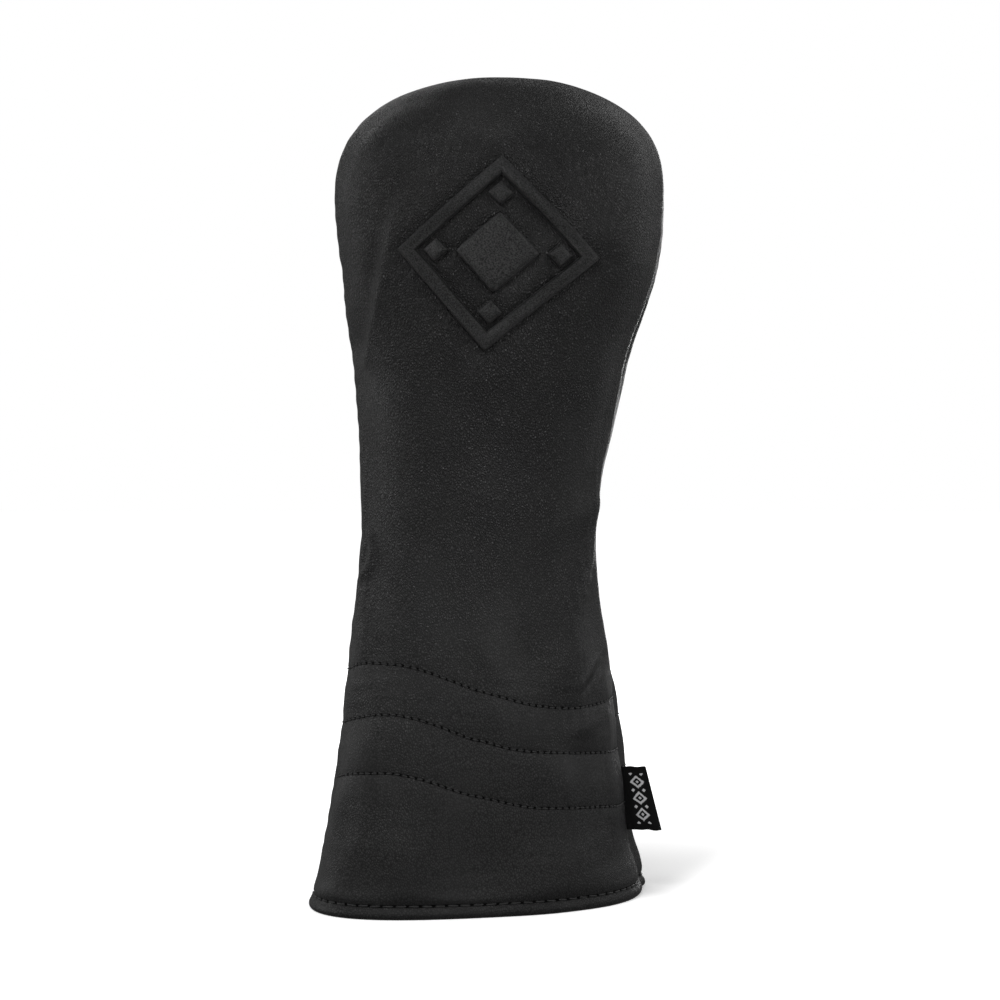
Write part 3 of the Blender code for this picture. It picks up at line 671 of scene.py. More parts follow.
# ---- Meshes ----
def outline_rows(z_low, z_high, step):
    """Heights spaced evenly along the side outline."""
    z = HEIGHT * (1 - (1 - np.linspace(0, 1, 40001)) ** 2)
    length = np.append(0.0, np.cumsum(np.hypot(np.diff(half_width(z)), np.diff(z))))
    low, high = np.interp(z_low, z, length), np.interp(z_high, z, length)
    return np.interp(np.linspace(low, high, int((high - low) / step) + 1), length, z)


def arc_turns(heights, first_y, columns):
    """Turns evenly spaced round the panel at each height, starting first_y off the seams."""
    out = np.zeros((len(heights), columns))
    for i, z in enumerate(heights):
        first = min(float(turn_of_y(first_y, z)), math.pi / 2 - 1e-4)
        turn = np.linspace(first, math.pi - first, 500)
        length = run_length(skin(turn, z, 1))
        out[i] = np.interp(np.linspace(0, length[-1], columns), length, turn)
    return out


def shell(outer, inner, edge=0, crown=False, ring=False):
    """Closed shell from two sheets of points. A crown's last row is folded together, all but edge
    columns at each end into one point; a ring joins its last column to its first."""
    rows, columns = outer.shape[:2]
    top = np.arange(rows * columns).reshape(rows, columns)
    if crown:
        for j in range(columns):
            top[-1, j] = top[-1, min(j, columns - 1 - j, edge)]
    under = top + rows * columns
    points = np.concatenate([outer.reshape(-1, 3), inner.reshape(-1, 3)])
    j = np.arange(columns if ring else columns - 1)
    k = (j + 1) % columns
    i = np.arange(rows - 1)[:, None]
    faces = [
        np.stack([top[i, j], top[i, k], top[i + 1, k], top[i + 1, j]], -1).reshape(-1, 4),
        np.stack([under[i, j], under[i + 1, j], under[i + 1, k], under[i, k]], -1).reshape(-1, 4),
        np.stack([top[0, j], under[0, j], under[0, k], top[0, k]], -1)]
    if not crown:
        faces.append(np.stack([top[-1, j], top[-1, k], under[-1, k], under[-1, j]], -1))
    if not ring:
        i = np.arange(rows - 1)
        faces.append(np.stack([top[i, 0], top[i + 1, 0], under[i + 1, 0], under[i, 0]], -1))
        faces.append(np.stack([top[i, -1], under[i, -1], under[i + 1, -1], top[i + 1, -1]], -1))
    return points, np.concatenate(faces)


def tubes(paths, radius, sides=8):
    """Round threads with pointed caps along open paths."""
    points, faces, base = [], [], 0
    angle = np.arange(sides) / sides * 2 * math.pi
    for path in paths:
        path = np.asarray(path, float)
        count = len(path)
        tangent = unit(np.gradient(path, axis=0), least=1e-9)
        side = np.cross(tangent, np.array([0.0, 0.0, 1.0]))
        upright = np.linalg.norm(side, axis=1) < 0.2
        side[upright] = np.cross(tangent[upright], np.array([0.0, 1.0, 0.0]))
        for i in range(1, count):
            if (side[i] * side[i - 1]).sum() < 0:
                side[i] = -side[i]
        side /= np.linalg.norm(side, axis=1, keepdims=True)
        other = np.cross(side, tangent)
        ring = path[:, None] + radius * (np.cos(angle)[None, :, None] * side[:, None]
                                         + np.sin(angle)[None, :, None] * other[:, None])
        points.append(ring.reshape(-1, 3))
        for i in range(count - 1):
            low, high = base + i * sides, base + (i + 1) * sides
            for j in range(sides):
                k = (j + 1) % sides
                faces.append((low + j, low + k, high + k, high + j))
        points.append(path[[0, -1]] + np.array([-tangent[0], tangent[-1]]) * radius * 0.6)
        apex = base + count * sides
        for start in (base, base + (count - 1) * sides):
            for j in range(sides):
                faces.append((start + j, start + (j + 1) % sides, apex, apex))
            apex += 1
        base = apex
    return np.concatenate(points), np.array(faces)


def add_mesh(name, shape, slot, replaced, body="cover", weld=0.0, uv=None):
    """A smooth object from millimetre points and four-cornered faces, turned outward, collapsed
    corners cleaned away and points closer than weld joined. It stands in for a CAD piece."""
    points, faces = shape
    first, second, third, fourth = (points[faces[:, k]] for k in range(4))
    volume = (np.einsum("ij,ij->i", first, np.cross(second, third))
              + np.einsum("ij,ij->i", first, np.cross(third, fourth))).sum()
    if volume < 0:
        faces = faces[:, ::-1]
    used = np.unique(faces)
    remap = np.full(len(points), -1)
    remap[used] = np.arange(len(used))
    corners = []
    for face in remap[faces].tolist():
        face = [v for k, v in enumerate(face) if v != face[k - 1]]
        if len(set(face)) == len(face) and len(face) > 2:
            corners.append(face)
    mesh = bpy.data.meshes.new(name)
    mesh.from_pydata((points[used] / 1000).tolist(), [], corners)
    if uv is not None:
        layer = mesh.uv_layers.new(name="stitch")
        loops = np.zeros(len(mesh.loops), np.int32)
        mesh.loops.foreach_get("vertex_index", loops)
        layer.data.foreach_set("uv", uv[used][loops].astype(np.float32).ravel())
    if weld:
        bm = bmesh.new()
        bm.from_mesh(mesh)
        bmesh.ops.remove_doubles(bm, verts=bm.verts, dist=weld / 1000)
        bmesh.ops.dissolve_degenerate(bm, dist=1e-6, edges=bm.edges)
        bm.to_mesh(mesh)
        bm.free()
    mesh.polygons.foreach_set("use_smooth", np.ones(len(mesh.polygons), bool))
    mesh.materials.append(MATERIALS[slot])
    mesh.update()
    obj = bpy.data.objects.new(name, mesh)
    bpy.context.scene.collection.objects.link(obj)
    if body:
        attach(obj, body)
    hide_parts(replaced)
    return obj


def mark_points(obj, name, values):
    """A number on each vertex, for the shader."""
    layer = obj.data.attributes.new(name, "FLOAT", "POINT")
    layer.data.foreach_set("value", np.asarray(values, np.float32))


# ---- Materials ----
def grey(value):
    return (value, value, value)


def scaled(colour, factor):
    return tuple(channel * factor for channel in colour)


class Shader:
    """A material round a Principled BSDF, with short ways to add nodes."""

    def __init__(self, name, colour):
        self.material = bpy.data.materials.new(name)
        self.material.use_nodes = True
        self.material.diffuse_color = (*colour, 1)
        self.tree = self.material.node_tree
        self.bsdf = self.tree.nodes["Principled BSDF"]
        self.bsdf.inputs["Base Color"].default_value = (*colour, 1)
        self.spot = self.add("TexCoord").outputs["Object"]

    def finish(self, inputs):
        for key, value in inputs.items():
            self.put(self.bsdf.inputs[key], value)
        return self.material

    def add(self, kind, inputs=None, **settings):
        node = self.tree.nodes.new("ShaderNode" + kind)
        for key, value in settings.items():
            setattr(node, key, value)
        for key, value in (inputs or {}).items():
            self.put(node.inputs[key], value)
        return node

    def put(self, socket, value):
        if hasattr(value, "is_output"):
            self.tree.links.new(value, socket)
        else:
            socket.default_value = value

    def math(self, operation, *values, clamp=False):
        inputs = dict(enumerate(values))
        return self.add("Math", inputs, operation=operation, use_clamp=clamp).outputs[0]

    def plus(self, first, second):
        return self.math("ADD", first, second)

    def minus(self, first, second):
        return self.math("SUBTRACT", first, second)

    def times(self, first, second):
        return self.math("MULTIPLY", first, second)

    def over(self, first, second):
        return self.math("DIVIDE", first, second)

    def size_over(self, value, half):
        return self.over(self.math("ABSOLUTE", value), half)

    def sine(self, value, pitch):
        return self.math("SINE", self.times(value, 2 * math.pi / pitch))

    def wave(self, value, pitch):
        """A sine between 0 and 1."""
        return self.math("MULTIPLY_ADD", self.sine(value, pitch), 0.5, 0.5)

    def repeat(self, value, pitch, shift):
        """The shifted value, repeating from -pitch / 2 to pitch / 2."""
        return self.minus(self.math("MODULO", self.plus(value, shift), pitch), pitch / 2)

    def vector(self, operation, *values):
        return self.add("VectorMath", dict(enumerate(values)), operation=operation).outputs[0]

    def axes(self, vector):
        return self.add("SeparateXYZ", {0: vector}).outputs

    def stitch_map(self):
        return self.axes(self.add("UVMap", uv_map="stitch").outputs["UV"])

    def attribute(self, name):
        return self.add("Attribute", attribute_name=name).outputs["Fac"]

    def noise(self, scale, detail=2.0, roughness=0.5, vector=None):
        return self.add("TexNoise", {
            "Vector": vector or self.spot, "Scale": scale, "Detail": detail,
            "Roughness": roughness, "Distortion": 0.0}).outputs["Fac"]

    def ramp(self, value, start, end, low=0.0, high=1.0, kind="SMOOTHSTEP"):
        return self.add("MapRange", {
            "Value": value, "From Min": start, "From Max": end, "To Min": low, "To Max": high},
            interpolation_type=kind).outputs["Result"]

    def line(self, value, low, high):
        return self.ramp(value, start=0.0, end=1.0, low=low, high=high, kind="LINEAR")

    def mix(self, factor, first, second):
        colours = [c if hasattr(c, "is_output") else (*c, 1) for c in (first, second)]
        return self.add("Mix", {0: factor, 6: colours[0], 7: colours[1]},
                        data_type="RGBA").outputs[2]

    def bump(self, height, distance, strength=1.0):
        return self.add("Bump", {"Height": height, "Distance": distance,
                                 "Strength": strength}).outputs["Normal"]


def leather_material():
    """Soft black leather: pebble grain with creases painted darker as shade, smoother in patches, and
    the needle holes of the stitch rows, painted dark as shade, from the map of distances along and off
    them."""
    grain = 1220.0        # cells per metre
    warp_size = 0.0009    # metres the grain is pushed about
    grain_squeeze = 0.66  # cells are longer up the cover
    cell_tilt = 0.035     # each cell leans its own way
    crease_share = 0.63
    hole_half_length, hole_half_width = 0.95, 0.50
    hole_depth = 2.2
    mat = Shader("black_leather", (0.012, 0.012, 0.0125))
    warp = mat.add("TexNoise", {"Vector": mat.spot, "Scale": 420.0, "Detail": 2.0})
    warped = mat.vector("MULTIPLY_ADD", warp.outputs["Color"], grey(warp_size), mat.spot)
    squeezed = mat.vector("MULTIPLY", warped, (1.0, 1.0, grain_squeeze))
    cell_inputs = {"Vector": squeezed, "Scale": grain}
    edges = mat.add("TexVoronoi", cell_inputs, feature="DISTANCE_TO_EDGE").outputs["Distance"]
    cells = mat.add("TexVoronoi", cell_inputs, feature="F1").outputs["Color"]
    z = mat.axes(mat.spot)["Z"]
    patches = mat.ramp(mat.noise(scale=24.0, detail=1.0), start=0.32, end=0.52, low=0.6)
    strength = mat.ramp(z, start=0.05, end=0.25, low=0.60, high=2.2)
    pebble = mat.ramp(edges, start=0.0, end=0.40)
    # crease marks the grain's valleys: it paints shade there (darker colour, less shine) and adds
    # roughness
    crease = mat.times(mat.ramp(edges, start=0.20, end=0.02), patches)
    crease = mat.math("MULTIPLY", crease, crease_share, clamp=True)
    lumps = mat.noise(scale=620.0, roughness=0.6, vector=squeezed)
    height = mat.times(mat.plus(pebble, mat.times(lumps, 0.25)), mat.times(patches, strength))

    rows = mat.stitch_map()
    wander = mat.times(mat.minus(warp.outputs["Fac"], 0.5), 0.5)
    along = mat.over(mat.repeat(rows["X"], pitch=STITCH, shift=STITCH * 1.5), hole_half_length)
    off = mat.over(mat.plus(rows["Y"], wander), hole_half_width)
    hole = mat.plus(mat.times(along, along), mat.times(off, off))
    hole = mat.ramp(hole, start=1.5, end=0.3)
    height = mat.minus(height, mat.times(hole, hole_depth))

    tilt = mat.vector("MULTIPLY_ADD", cells, grey(cell_tilt), grey(-cell_tilt / 2))
    tilt = mat.add("VectorMath", {0: tilt, "Scale": patches}, operation="SCALE").outputs[0]
    normal = mat.vector("ADD", mat.bump(height, distance=0.00020), tilt)

    worn = mat.noise(scale=55.0, detail=3.0)
    rough = mat.ramp(worn, start=0.3, end=0.7, low=0.40, high=0.48)
    tone = mat.mix(mat.ramp(mat.noise(scale=34.0, detail=4.0), start=0.35, end=0.7),
                   (0.0090, 0.0090, 0.0092), (0.0125, 0.0124, 0.0123))
    # painted shade: near black in the grain's creases and in the needle holes
    tone = mat.mix(mat.times(crease, 0.8), tone, grey(0.002))
    tone = mat.mix(mat.times(hole, 0.85), tone, grey(0.0006))
    # painted shade: less specular in creases and in holes; also less specular towards the hem, which
    # makes the lower part darker
    shine = mat.times(mat.minus(1.0, mat.times(crease, 0.65)), mat.line(hole, low=0.5, high=0.08))
    shine = mat.times(shine, mat.ramp(z, start=0.03, end=0.145, low=0.76))
    return mat.finish({
        "Normal": mat.vector("NORMALIZE", normal),
        "Roughness": mat.plus(rough, mat.times(crease, 0.15)),
        "Base Color": tone,
        "Specular IOR Level": shine})


def thread_material():
    colour = grey(0.017)
    mat = Shader("black_thread", colour)
    fibres = mat.noise(scale=2600.0)
    return mat.finish({
        "Normal": mat.bump(fibres, distance=0.00012, strength=0.8),
        "Base Color": mat.mix(fibres, scaled(colour, 0.6), scaled(colour, 1.5)),
        "Roughness": 0.5,
        "Specular IOR Level": 0.5})


def embroidery_material():
    """Satin stitches, strands side by side across the map's u, painted dark at the edges of the work
    as shade where the puff meets the leather.
    """
    strand_pitch = 0.42
    mat = Shader("black_embroidery", grey(0.016))
    wobble = mat.times(mat.noise(scale=500.0), 0.35)
    strand = mat.wave(mat.plus(mat.stitch_map()["X"], wobble), strand_pitch)
    fibre = mat.noise(scale=1800.0)
    height = mat.plus(mat.times(strand, 0.9), mat.times(fibre, 0.5))
    mottle = mat.ramp(mat.noise(scale=1900.0, roughness=0.6), start=0.32, end=0.68)
    bright = mat.times(mat.plus(mat.times(strand, 0.4), 0.6), mottle)
    shade = mat.mix(bright, grey(0.003), grey(0.033))
    # painted shade: the outline where the puff meets the leather is painted near black and loses its
    # shine
    rim = mat.ramp(mat.attribute("inset"), start=0.78, end=0.3)
    shine = mat.times(mat.line(rim, low=0.5, high=0.03), mat.line(mottle, low=0.4, high=1.3))
    return mat.finish({
        "Normal": mat.bump(height, distance=0.00035),
        "Base Color": mat.mix(rim, shade, grey(0.0008)),
        "Roughness": 0.48,
        "Specular IOR Level": shine,
        "Sheen Weight": 0.12,
        "Sheen Roughness": 0.4})


def plush_material():
    mat = Shader("charcoal_plush", (0.03, 0.03, 0.033))
    pile = mat.noise(scale=1100.0, detail=4.0, roughness=0.65)
    clumps = mat.noise(scale=260.0)
    return mat.finish({
        "Normal": mat.bump(mat.plus(pile, clumps), distance=0.0006),
        "Base Color": mat.mix(mat.times(pile, clumps), (0.016, 0.016, 0.018), (0.085, 0.085, 0.09)),
        "Roughness": 0.95,
        "Sheen Weight": 0.7,
        "Sheen Roughness": 0.5})


def foam_material(name, colour):
    mat = Shader(name, colour)
    pores = mat.add("TexVoronoi", {"Vector": mat.spot, "Scale": 1500.0}).outputs["Distance"]
    return mat.finish({
        "Normal": mat.bump(pores, distance=0.0003),
        "Base Color": mat.mix(pores, scaled(colour, 0.5), scaled(colour, 1.3)),
        "Roughness": 0.95})


def elastic_material():
    """Knit with level cords."""
    cord_pitch = 0.0016
    mat = Shader("black_elastic", grey(0.02))
    cords = mat.sine(mat.axes(mat.spot)["Z"], cord_pitch)
    knit = mat.noise(scale=1500.0)
    return mat.finish({
        "Normal": mat.bump(mat.plus(cords, knit), distance=0.0002),
        "Base Color": mat.mix(knit, grey(0.012), grey(0.035)),
        "Roughness": 0.8})


def label_material():
    """Woven ribbon with a row of lozenges. The map's u runs from the seam to the fold, v up."""
    warp_pitch, weft_pitch = 0.30, 0.42
    middle = 6.2                        # u of the row of lozenges
    pitch = 7.0
    half_width_, half_height = 3.1, 2.9
    speck_out, speck_half = 2.2, 0.8    # specks beside the row, between the lozenges
    mat = Shader("woven_label", grey(0.016))
    ribbon = mat.stitch_map()
    along, up = ribbon["X"], ribbon["Y"]
    warp = mat.wave(along, warp_pitch)
    weft = mat.wave(up, weft_pitch)
    off = mat.minus(along, middle)
    cell = mat.repeat(up, pitch=pitch, shift=4.05)
    fuzz = mat.times(mat.noise(scale=1500.0, detail=1.0), 0.25)
    lozenge = mat.plus(mat.size_over(off, half_width_), mat.size_over(cell, half_height))
    lozenge = mat.plus(lozenge, fuzz)
    solid = mat.ramp(lozenge, start=1.16, end=1.04)
    hollow = mat.ramp(lozenge, start=0.66, end=0.76)
    core = mat.ramp(lozenge, start=0.40, end=0.30)
    mark = mat.math("MAXIMUM", mat.times(solid, hollow), core)
    gap = mat.repeat(up, pitch=pitch, shift=7.55)
    beside = mat.minus(mat.math("ABSOLUTE", off), speck_out)
    speck = mat.plus(mat.size_over(beside, speck_half), mat.size_over(gap, speck_half))
    mark = mat.math("MAXIMUM", mark, mat.ramp(speck, start=1.1, end=0.9))
    inside = mat.times(mat.ramp(up, start=2.6, end=2.75), mat.ramp(up, start=24.3, end=24.15))
    mark = mat.times(mat.times(mark, inside), mat.attribute("front_face"))
    ground = mat.mix(mat.times(warp, weft), grey(0.0025), (0.013, 0.013, 0.0135))
    yarn = mat.mix(weft, (0.42, 0.42, 0.43), (0.66, 0.66, 0.67))
    height = mat.plus(mat.times(warp, 0.5), mat.times(weft, 0.7))
    height = mat.plus(height, mat.times(mark, 0.8))
    return mat.finish({
        "Base Color": mat.mix(mark, ground, yarn),
        "Normal": mat.bump(height, distance=0.00008, strength=0.9),
        "Roughness": 0.8,
        "Specular IOR Level": 0.12})


MATERIALS = {  # by slot
    "leather": leather_material(),
    "thread": thread_material(),
    "embroidery": embroidery_material(),
    "plush": plush_material(),
    "foam": foam_material("grey_foam", (0.15, 0.15, 0.16)),
    "puff_foam": foam_material("black_puff_foam", grey(0.04)),
    "elastic": elastic_material(),
    "woven_label": label_material(),
}


# ---- Leather panels ----
def hem_rows():
    """Depth and height of the outer face, then of the inner face, from the turned edge down,
    round two corners and out."""
    inner_round = HEM_ROUND - LEATHER
    turned = 3 * HEM_ROUND
    rows = [(turned, z, turned - LEATHER, z) for z in TURNED_Z]
    for centre, start in ((2 * HEM_ROUND, 0.0), (HEM_ROUND, math.pi / 2)):
        for angle in np.linspace(0, math.pi / 2, HEM_CORNER_ROWS) + start:
            out, down = math.cos(angle), math.sin(angle)
            rows.append((centre + HEM_ROUND * out, HEM_ROUND - HEM_ROUND * down,
                         centre + inner_round * out, HEM_ROUND - inner_round * down))
    return np.array(rows).T


def seam_edge(outer, depths, lips, in_hem):
    """For the lip and the roll of one face at the seam: distance off the seam plane, and depth
    from the face. lips is 1 where the full seam allowance is turned in."""
    radius = ROLL if outer else ROLL - LEATHER
    roll_y = ROLL - radius * np.sin(ROLL_ANGLES)
    roll_depth = ROLL - radius * np.cos(ROLL_ANGLES)
    lips = lips[:, None]
    in_hem = in_hem[:, None]
    lip_depth = lips * np.array([LIP, 2.3]) + (1 - lips) * np.array([1.15, 1.12])
    if outer:
        y = np.tile(np.append([SEAM_HALF_GAP] * 2, roll_y), (len(lips), 1))
        depth_out, depth_in = (depth[:, None] for depth in depths)
        # in the turned hem the faces meet square at the gap
        square = (depth_in - depth_out) * np.array([0.66, 0.33])
        hem_lip = np.where(depth_out > 0.05, square, np.array([1.15, 1.1]))
        lip_depth = np.where(in_hem, hem_lip, lip_depth)
        hem_roll = smoothstep(1.6 - depth_out, 0.0, 1.6)
        roll_depth = roll_depth * np.where(in_hem, hem_roll, 1.0)
    else:
        # below the seam allowance the inner face runs square up to the gap
        square_y = SEAM_HALF_GAP + np.array([0.0, 0.0, 0.05, 0.35, 0.75, 1.15, 1.5])
        y = lips * np.append([roll_y[0]] * 2, roll_y) + (1 - lips) * square_y
        lip_depth = lips * (lip_depth - LEATHER) + (1 - lips) * np.array([-0.04, -0.02])
        lip_depth = np.where(in_hem, 0.0, lip_depth)
        roll_depth = lips * (roll_depth - LEATHER)
    return y, np.concatenate([lip_depth, roll_depth], 1)


def crown_row(last):
    """The row over the crown where a panel folds shut."""
    columns = len(last)
    row = last.copy()
    for j in range(columns):
        k = min(j, columns - 1 - j, EDGE_COLUMNS)
        row[j] = last[columns // 2] if k >= EDGE_COLUMNS else (last[k] + last[-1 - k]) / 2
    row[:, 2] += 0.002
    return row


def panel(side):
    """The outer and inner sheets and their stitch map: rows from the turned hem up over the
    crown, columns from the right seam allowance round to the left one."""
    hem_depth_out, hem_z_out, hem_depth_in, hem_z_in = hem_rows()
    body = np.concatenate([outline_rows(2.1, 106.0, step=0.95)[:-1],
                           outline_rows(106.0, HEIGHT - 0.004, step=1.5)])
    z_out = np.append(hem_z_out, body)
    z_in = np.append(hem_z_in, body)
    depths = (np.append(hem_depth_out, 0 * body), np.append(hem_depth_in, 0 * body + LEATHER))
    in_hem = np.arange(len(z_out)) < HEM_ROWS
    arc = arc_turns(z_out, first_y=2.6, columns=122)
    lips = smoothstep(z_out, 10.0, 20.0)
    sheets, maps = [], []
    for outer, z, depth in ((True, z_out, depths[0]), (False, z_in, depths[1])):
        edge_y, edge_depth = seam_edge(outer, depths, lips, in_hem)
        edge_turn = turn_of_y(edge_y, z[:, None] * np.ones_like(edge_y))
        turn = np.concatenate([edge_turn, arc, math.pi - edge_turn[:, ::-1]], 1)
        seam_depth = np.concatenate([edge_depth, np.zeros_like(arc), edge_depth[:, ::-1]], 1)
        heights = z[:, None] * np.ones_like(turn)
        points = surface(turn, heights, side, depth[:, None], seam_depth)
        sheets.append(np.concatenate([points, crown_row(points[-1])[None]]))
        stitches = np.full((*turn.shape, 2), OFF_ROWS)
        if outer:
            shown = HEM_ROWS - 3
            stitches[shown:] = row_map(turn, heights, side)[shown:]
        maps.append(np.concatenate([stitches, stitches[-1:]]).reshape(-1, 2))
    return *sheets, np.concatenate(maps)


skins = {}
for face, side in (("front", -1), ("back", 1)):
    outer, inner, stitches = panel(side)
    add_mesh(f"leather_{face}", shell(outer, inner, edge=EDGE_COLUMNS, crown=True), "leather",
             f"{face}_panel", weld=0.04, uv=stitches)
    # the visible face, for laying stitches on
    grid = outer[HEM_ROWS - 1:]
    wide = grid.shape[1]
    cells = [(i * wide + j, i * wide + j + 1, (i + 1) * wide + j + 1, (i + 1) * wide + j)
             for i in range(len(grid) - 1) for j in range(EDGE_COLUMNS, wide - EDGE_COLUMNS - 1)]
    skins[side] = BVHTree.FromPolygons([Vector(point) for point in grid.reshape(-1, 3)], cells)


def on_skin(point, side):
    """The nearest point of the leather's face and its outward normal."""
    location, normal, _, _ = skins[side].find_nearest(Vector(point))
    location, normal = np.array(location), np.array(normal)
    out = np.array([location[0], location[1], max(location[2] - 280.0, 0.0)])
    return location, (normal if (normal * out).sum() > 0 else -normal)


# ---- Padding, lining and elastic ----
def layer(side, z, depth_out, depth_in, first_y, columns, crown=True, pile=False):
    """A shell between two depths below the plain surface; pile roughens its inner face."""
    arc = arc_turns(z, first_y, columns)
    heights = z[:, None] * np.ones_like(arc)
    sheets = []
    for depth, rough in ((depth_out, False), (depth_in, pile)):
        drop = np.broadcast_to(depth, z.shape)[:, None]
        if rough:
            spot = place(skin(arc, heights, side))
            tuft = 0.5 * noise(spot, scale=2.3, seed=41) + 0.35 * noise(spot, scale=1.1, seed=43)
            drop = drop + 0.30 * tuft + 0.05
        points = draped(arc, heights, side, soft_relief(arc, heights, side) - drop)
        if crown:
            last = points[-1]
            row = np.repeat(last.mean(0)[None], columns, 0)
            row[:, 1] = last[columns // 2, 1]
            row[[0, -1], 1] = last[0, 1]
            points = np.concatenate([points, row[None]])
        sheets.append(points)
    return shell(*sheets, edge=1, crown=crown)


LAYER_WELD = 0.05
z = outline_rows(14.5, HEIGHT - 0.4, step=4.0)
# the back padding makes room for the elastic
elastic_room = 1.25 * between(z, (128, 136), (165, 173))
for face, side, depth_out in (("front", -1, 1.6), ("back", 1, 1.6 + elastic_room)):
    shape = layer(side, z, depth_out, depth_in=4.2, first_y=2.5, columns=49)
    add_mesh(f"padding_{face}", shape, "foam", f"{face}_padding", weld=LAYER_WELD)

LINING_Z = 4.0
LINING_DEPTH = 5.55       # of its middle
LINING_HALF = 0.95        # half its thickness
LINING_ROUND = 1.6        # height of its rounded bottom edge
z = outline_rows(LINING_Z, HEIGHT - 0.3, step=1.8)
half = LINING_HALF * (0.25 + 0.75 * quarter_round((z - LINING_Z) / LINING_ROUND))
for face, side in (("front", -1), ("back", 1)):
    shape = layer(side, z, LINING_DEPTH - half, LINING_DEPTH + half, first_y=0.5, columns=97,
                  pile=True)
    add_mesh(f"lining_{face}", shape, "plush", f"{face}_lining", weld=LAYER_WELD)

z = outline_rows(136.8, 164.2, step=0.4)
cords = np.cos(z * 2 * math.pi / 1.6)
shape = layer(1, z, 1.55 + 0.12 * cords, 2.45 + 0.08 * cords, first_y=2.5, columns=121, crown=False)
add_mesh("elastic_band", shape, "elastic", "throat_elastic", weld=LAYER_WELD)


# ---- Stitches ----
def stitch_paths(line, side, start_y, rise):
    """Separate stitches along a row, from start_y off the seams, each dipping into its holes."""
    sink = 0.42
    inset = 0.30    # from each hole's middle to the thread's end
    table_turn, table_length = ROW_TABLES[line, side]
    first = float(turn_of_y(start_y, row_height(line, 0.0, side)))
    low, high = np.interp([first, math.pi - first], table_turn, table_length)
    number = np.arange(int(math.ceil(low / STITCH)), int(math.floor(high / STITCH)))
    seed = sum(ord(letter) * (i + 7) for i, letter in enumerate(str((line, side))))
    jitter = np.random.default_rng(seed).uniform(-1, 1, (len(number), 3))
    start = number * STITCH + inset + 0.10 * jitter[:, 0]
    stop = (number + 1) * STITCH - inset + 0.10 * jitter[:, 1]
    share = np.linspace(0, 1, 9)
    turn = np.interp(start[:, None] + (stop - start)[:, None] * share, table_length, table_turn)
    z = row_height(line, turn, side) + 0.35 * jitter[:, 2:] * (share - 0.5)
    points = surface(turn, z, side)
    lift = -sink + (rise + sink) * np.sin(math.pi * share) ** 0.55
    for path in points:
        for j, point in enumerate(path):
            location, normal = on_skin(point, side)
            path[j] = location + normal * lift[j]
    return list(points)


def seam_tacks():
    """Short threads across each seam at the hem."""
    half_length = 1.5
    rng = np.random.default_rng(5)
    y = np.linspace(-half_length, half_length, 11)
    arch = np.maximum(np.cos(np.pi * y / 3.0), 0) ** 0.5
    paths = []
    for hand in (1, -1):
        for k, z in enumerate((3.4, 4.3, 5.1, 5.9, 6.7)):
            rise = 0.75 if k % 2 else 0.55
            x = hand * (float(half_width(z)) - 1.15 + rise * arch)
            slant = 0.9 * rng.uniform(-1, 1) * y / half_length
            heights = z + slant + 0.25 * rng.uniform(-1, 1)
            paths.append(place(np.stack([x, y, heights], -1)))
    return paths


def seam_line(depth, z_low):
    """A line up the right seam, over the crown and down the left one."""
    z = outline_rows(z_low, HEIGHT - 0.05, step=1.5)
    right = np.stack([half_width(z), 0 * z, z], -1)
    right = right - in_seam_plane(skin_normal(np.full(len(z), 1e-4), z, -1)) * depth
    left = right * np.array([-1.0, 1.0, 1.0])
    return place(np.concatenate([right, left[::-1]]))


for line in WAVES:
    for face, side in (("front", -1), ("back", 1)):
        shape = tubes(stitch_paths(line, side, start_y=2.3, rise=0.22), radius=0.27)
        add_mesh(f"stitches_{face}_{line}", shape, "thread", f"{face}_wave_stitch_{line}")

paths = []
for side in (-1, 1):
    paths += stitch_paths("hem", side, start_y=1.6, rise=0.34)
add_mesh("stitches_hem", tubes(paths + seam_tacks(), radius=0.30), "thread", "hem_topstitch")
add_mesh("seam_thread", tubes([seam_line(depth=LIP + 0.55, z_low=16.0)], radius=0.24), "thread",
         "side_seam_thread")
add_mesh("lining_thread", tubes([seam_line(depth=5.5, z_low=10.0)], radius=0.18), "thread",
         "lining_seam_thread")

# ---- Puff embroidery ----
PUFF = 2.7          # from the sunk leather to the top of the puff
PUFF_EDGE = 0.35    # height of its upright edge
SUNK = 0.85         # how far the leather is drawn down
COVER = 0.9         # thickness of the stitching over the foam
COVER_INSET = 0.6   # its underside's inset
RIM = -0.1          # height of its outline, in the leather
FOAM_BOTTOM = 0.05
FOAM_EDGE = 0.15
EDGE = np.array((0.0, 0.05, 0.16, 0.36, 0.66, 1.05, 1.5))  # insets of the rows near the outline


def emblem_point(across, up, height):
    """A point of the emblem's drawing on the front, height above the sunk leather."""
    x = EMBLEM_X + EMBLEM_COS * across - EMBLEM_SIN * up
    z = EMBLEM_Z + EMBLEM_SIN * across + EMBLEM_COS * up
    share = np.clip(x / half_width(z), -1, 1)
    turn = np.arccos(np.clip(signed_power(share, station(z, "power") / 2), -1, 1))
    swell = padding_swell(place(skin(turn, z, -1)))
    return draped(turn, z, -1, swell - SUNK + height)


def puff_profile(inset, half_band):
    """Height of the satin stitches, inset from the edge: steep at the edge, nearly flat on top."""
    share = np.clip(inset / min(2.5, half_band), 0, 1)
    dome = np.sqrt(np.clip(1 - (1 - share) ** 2.2, 0, 1))
    return PUFF_EDGE + (PUFF - PUFF_EDGE) * dome + 0.12 * np.clip(inset / half_band, 0, 1)


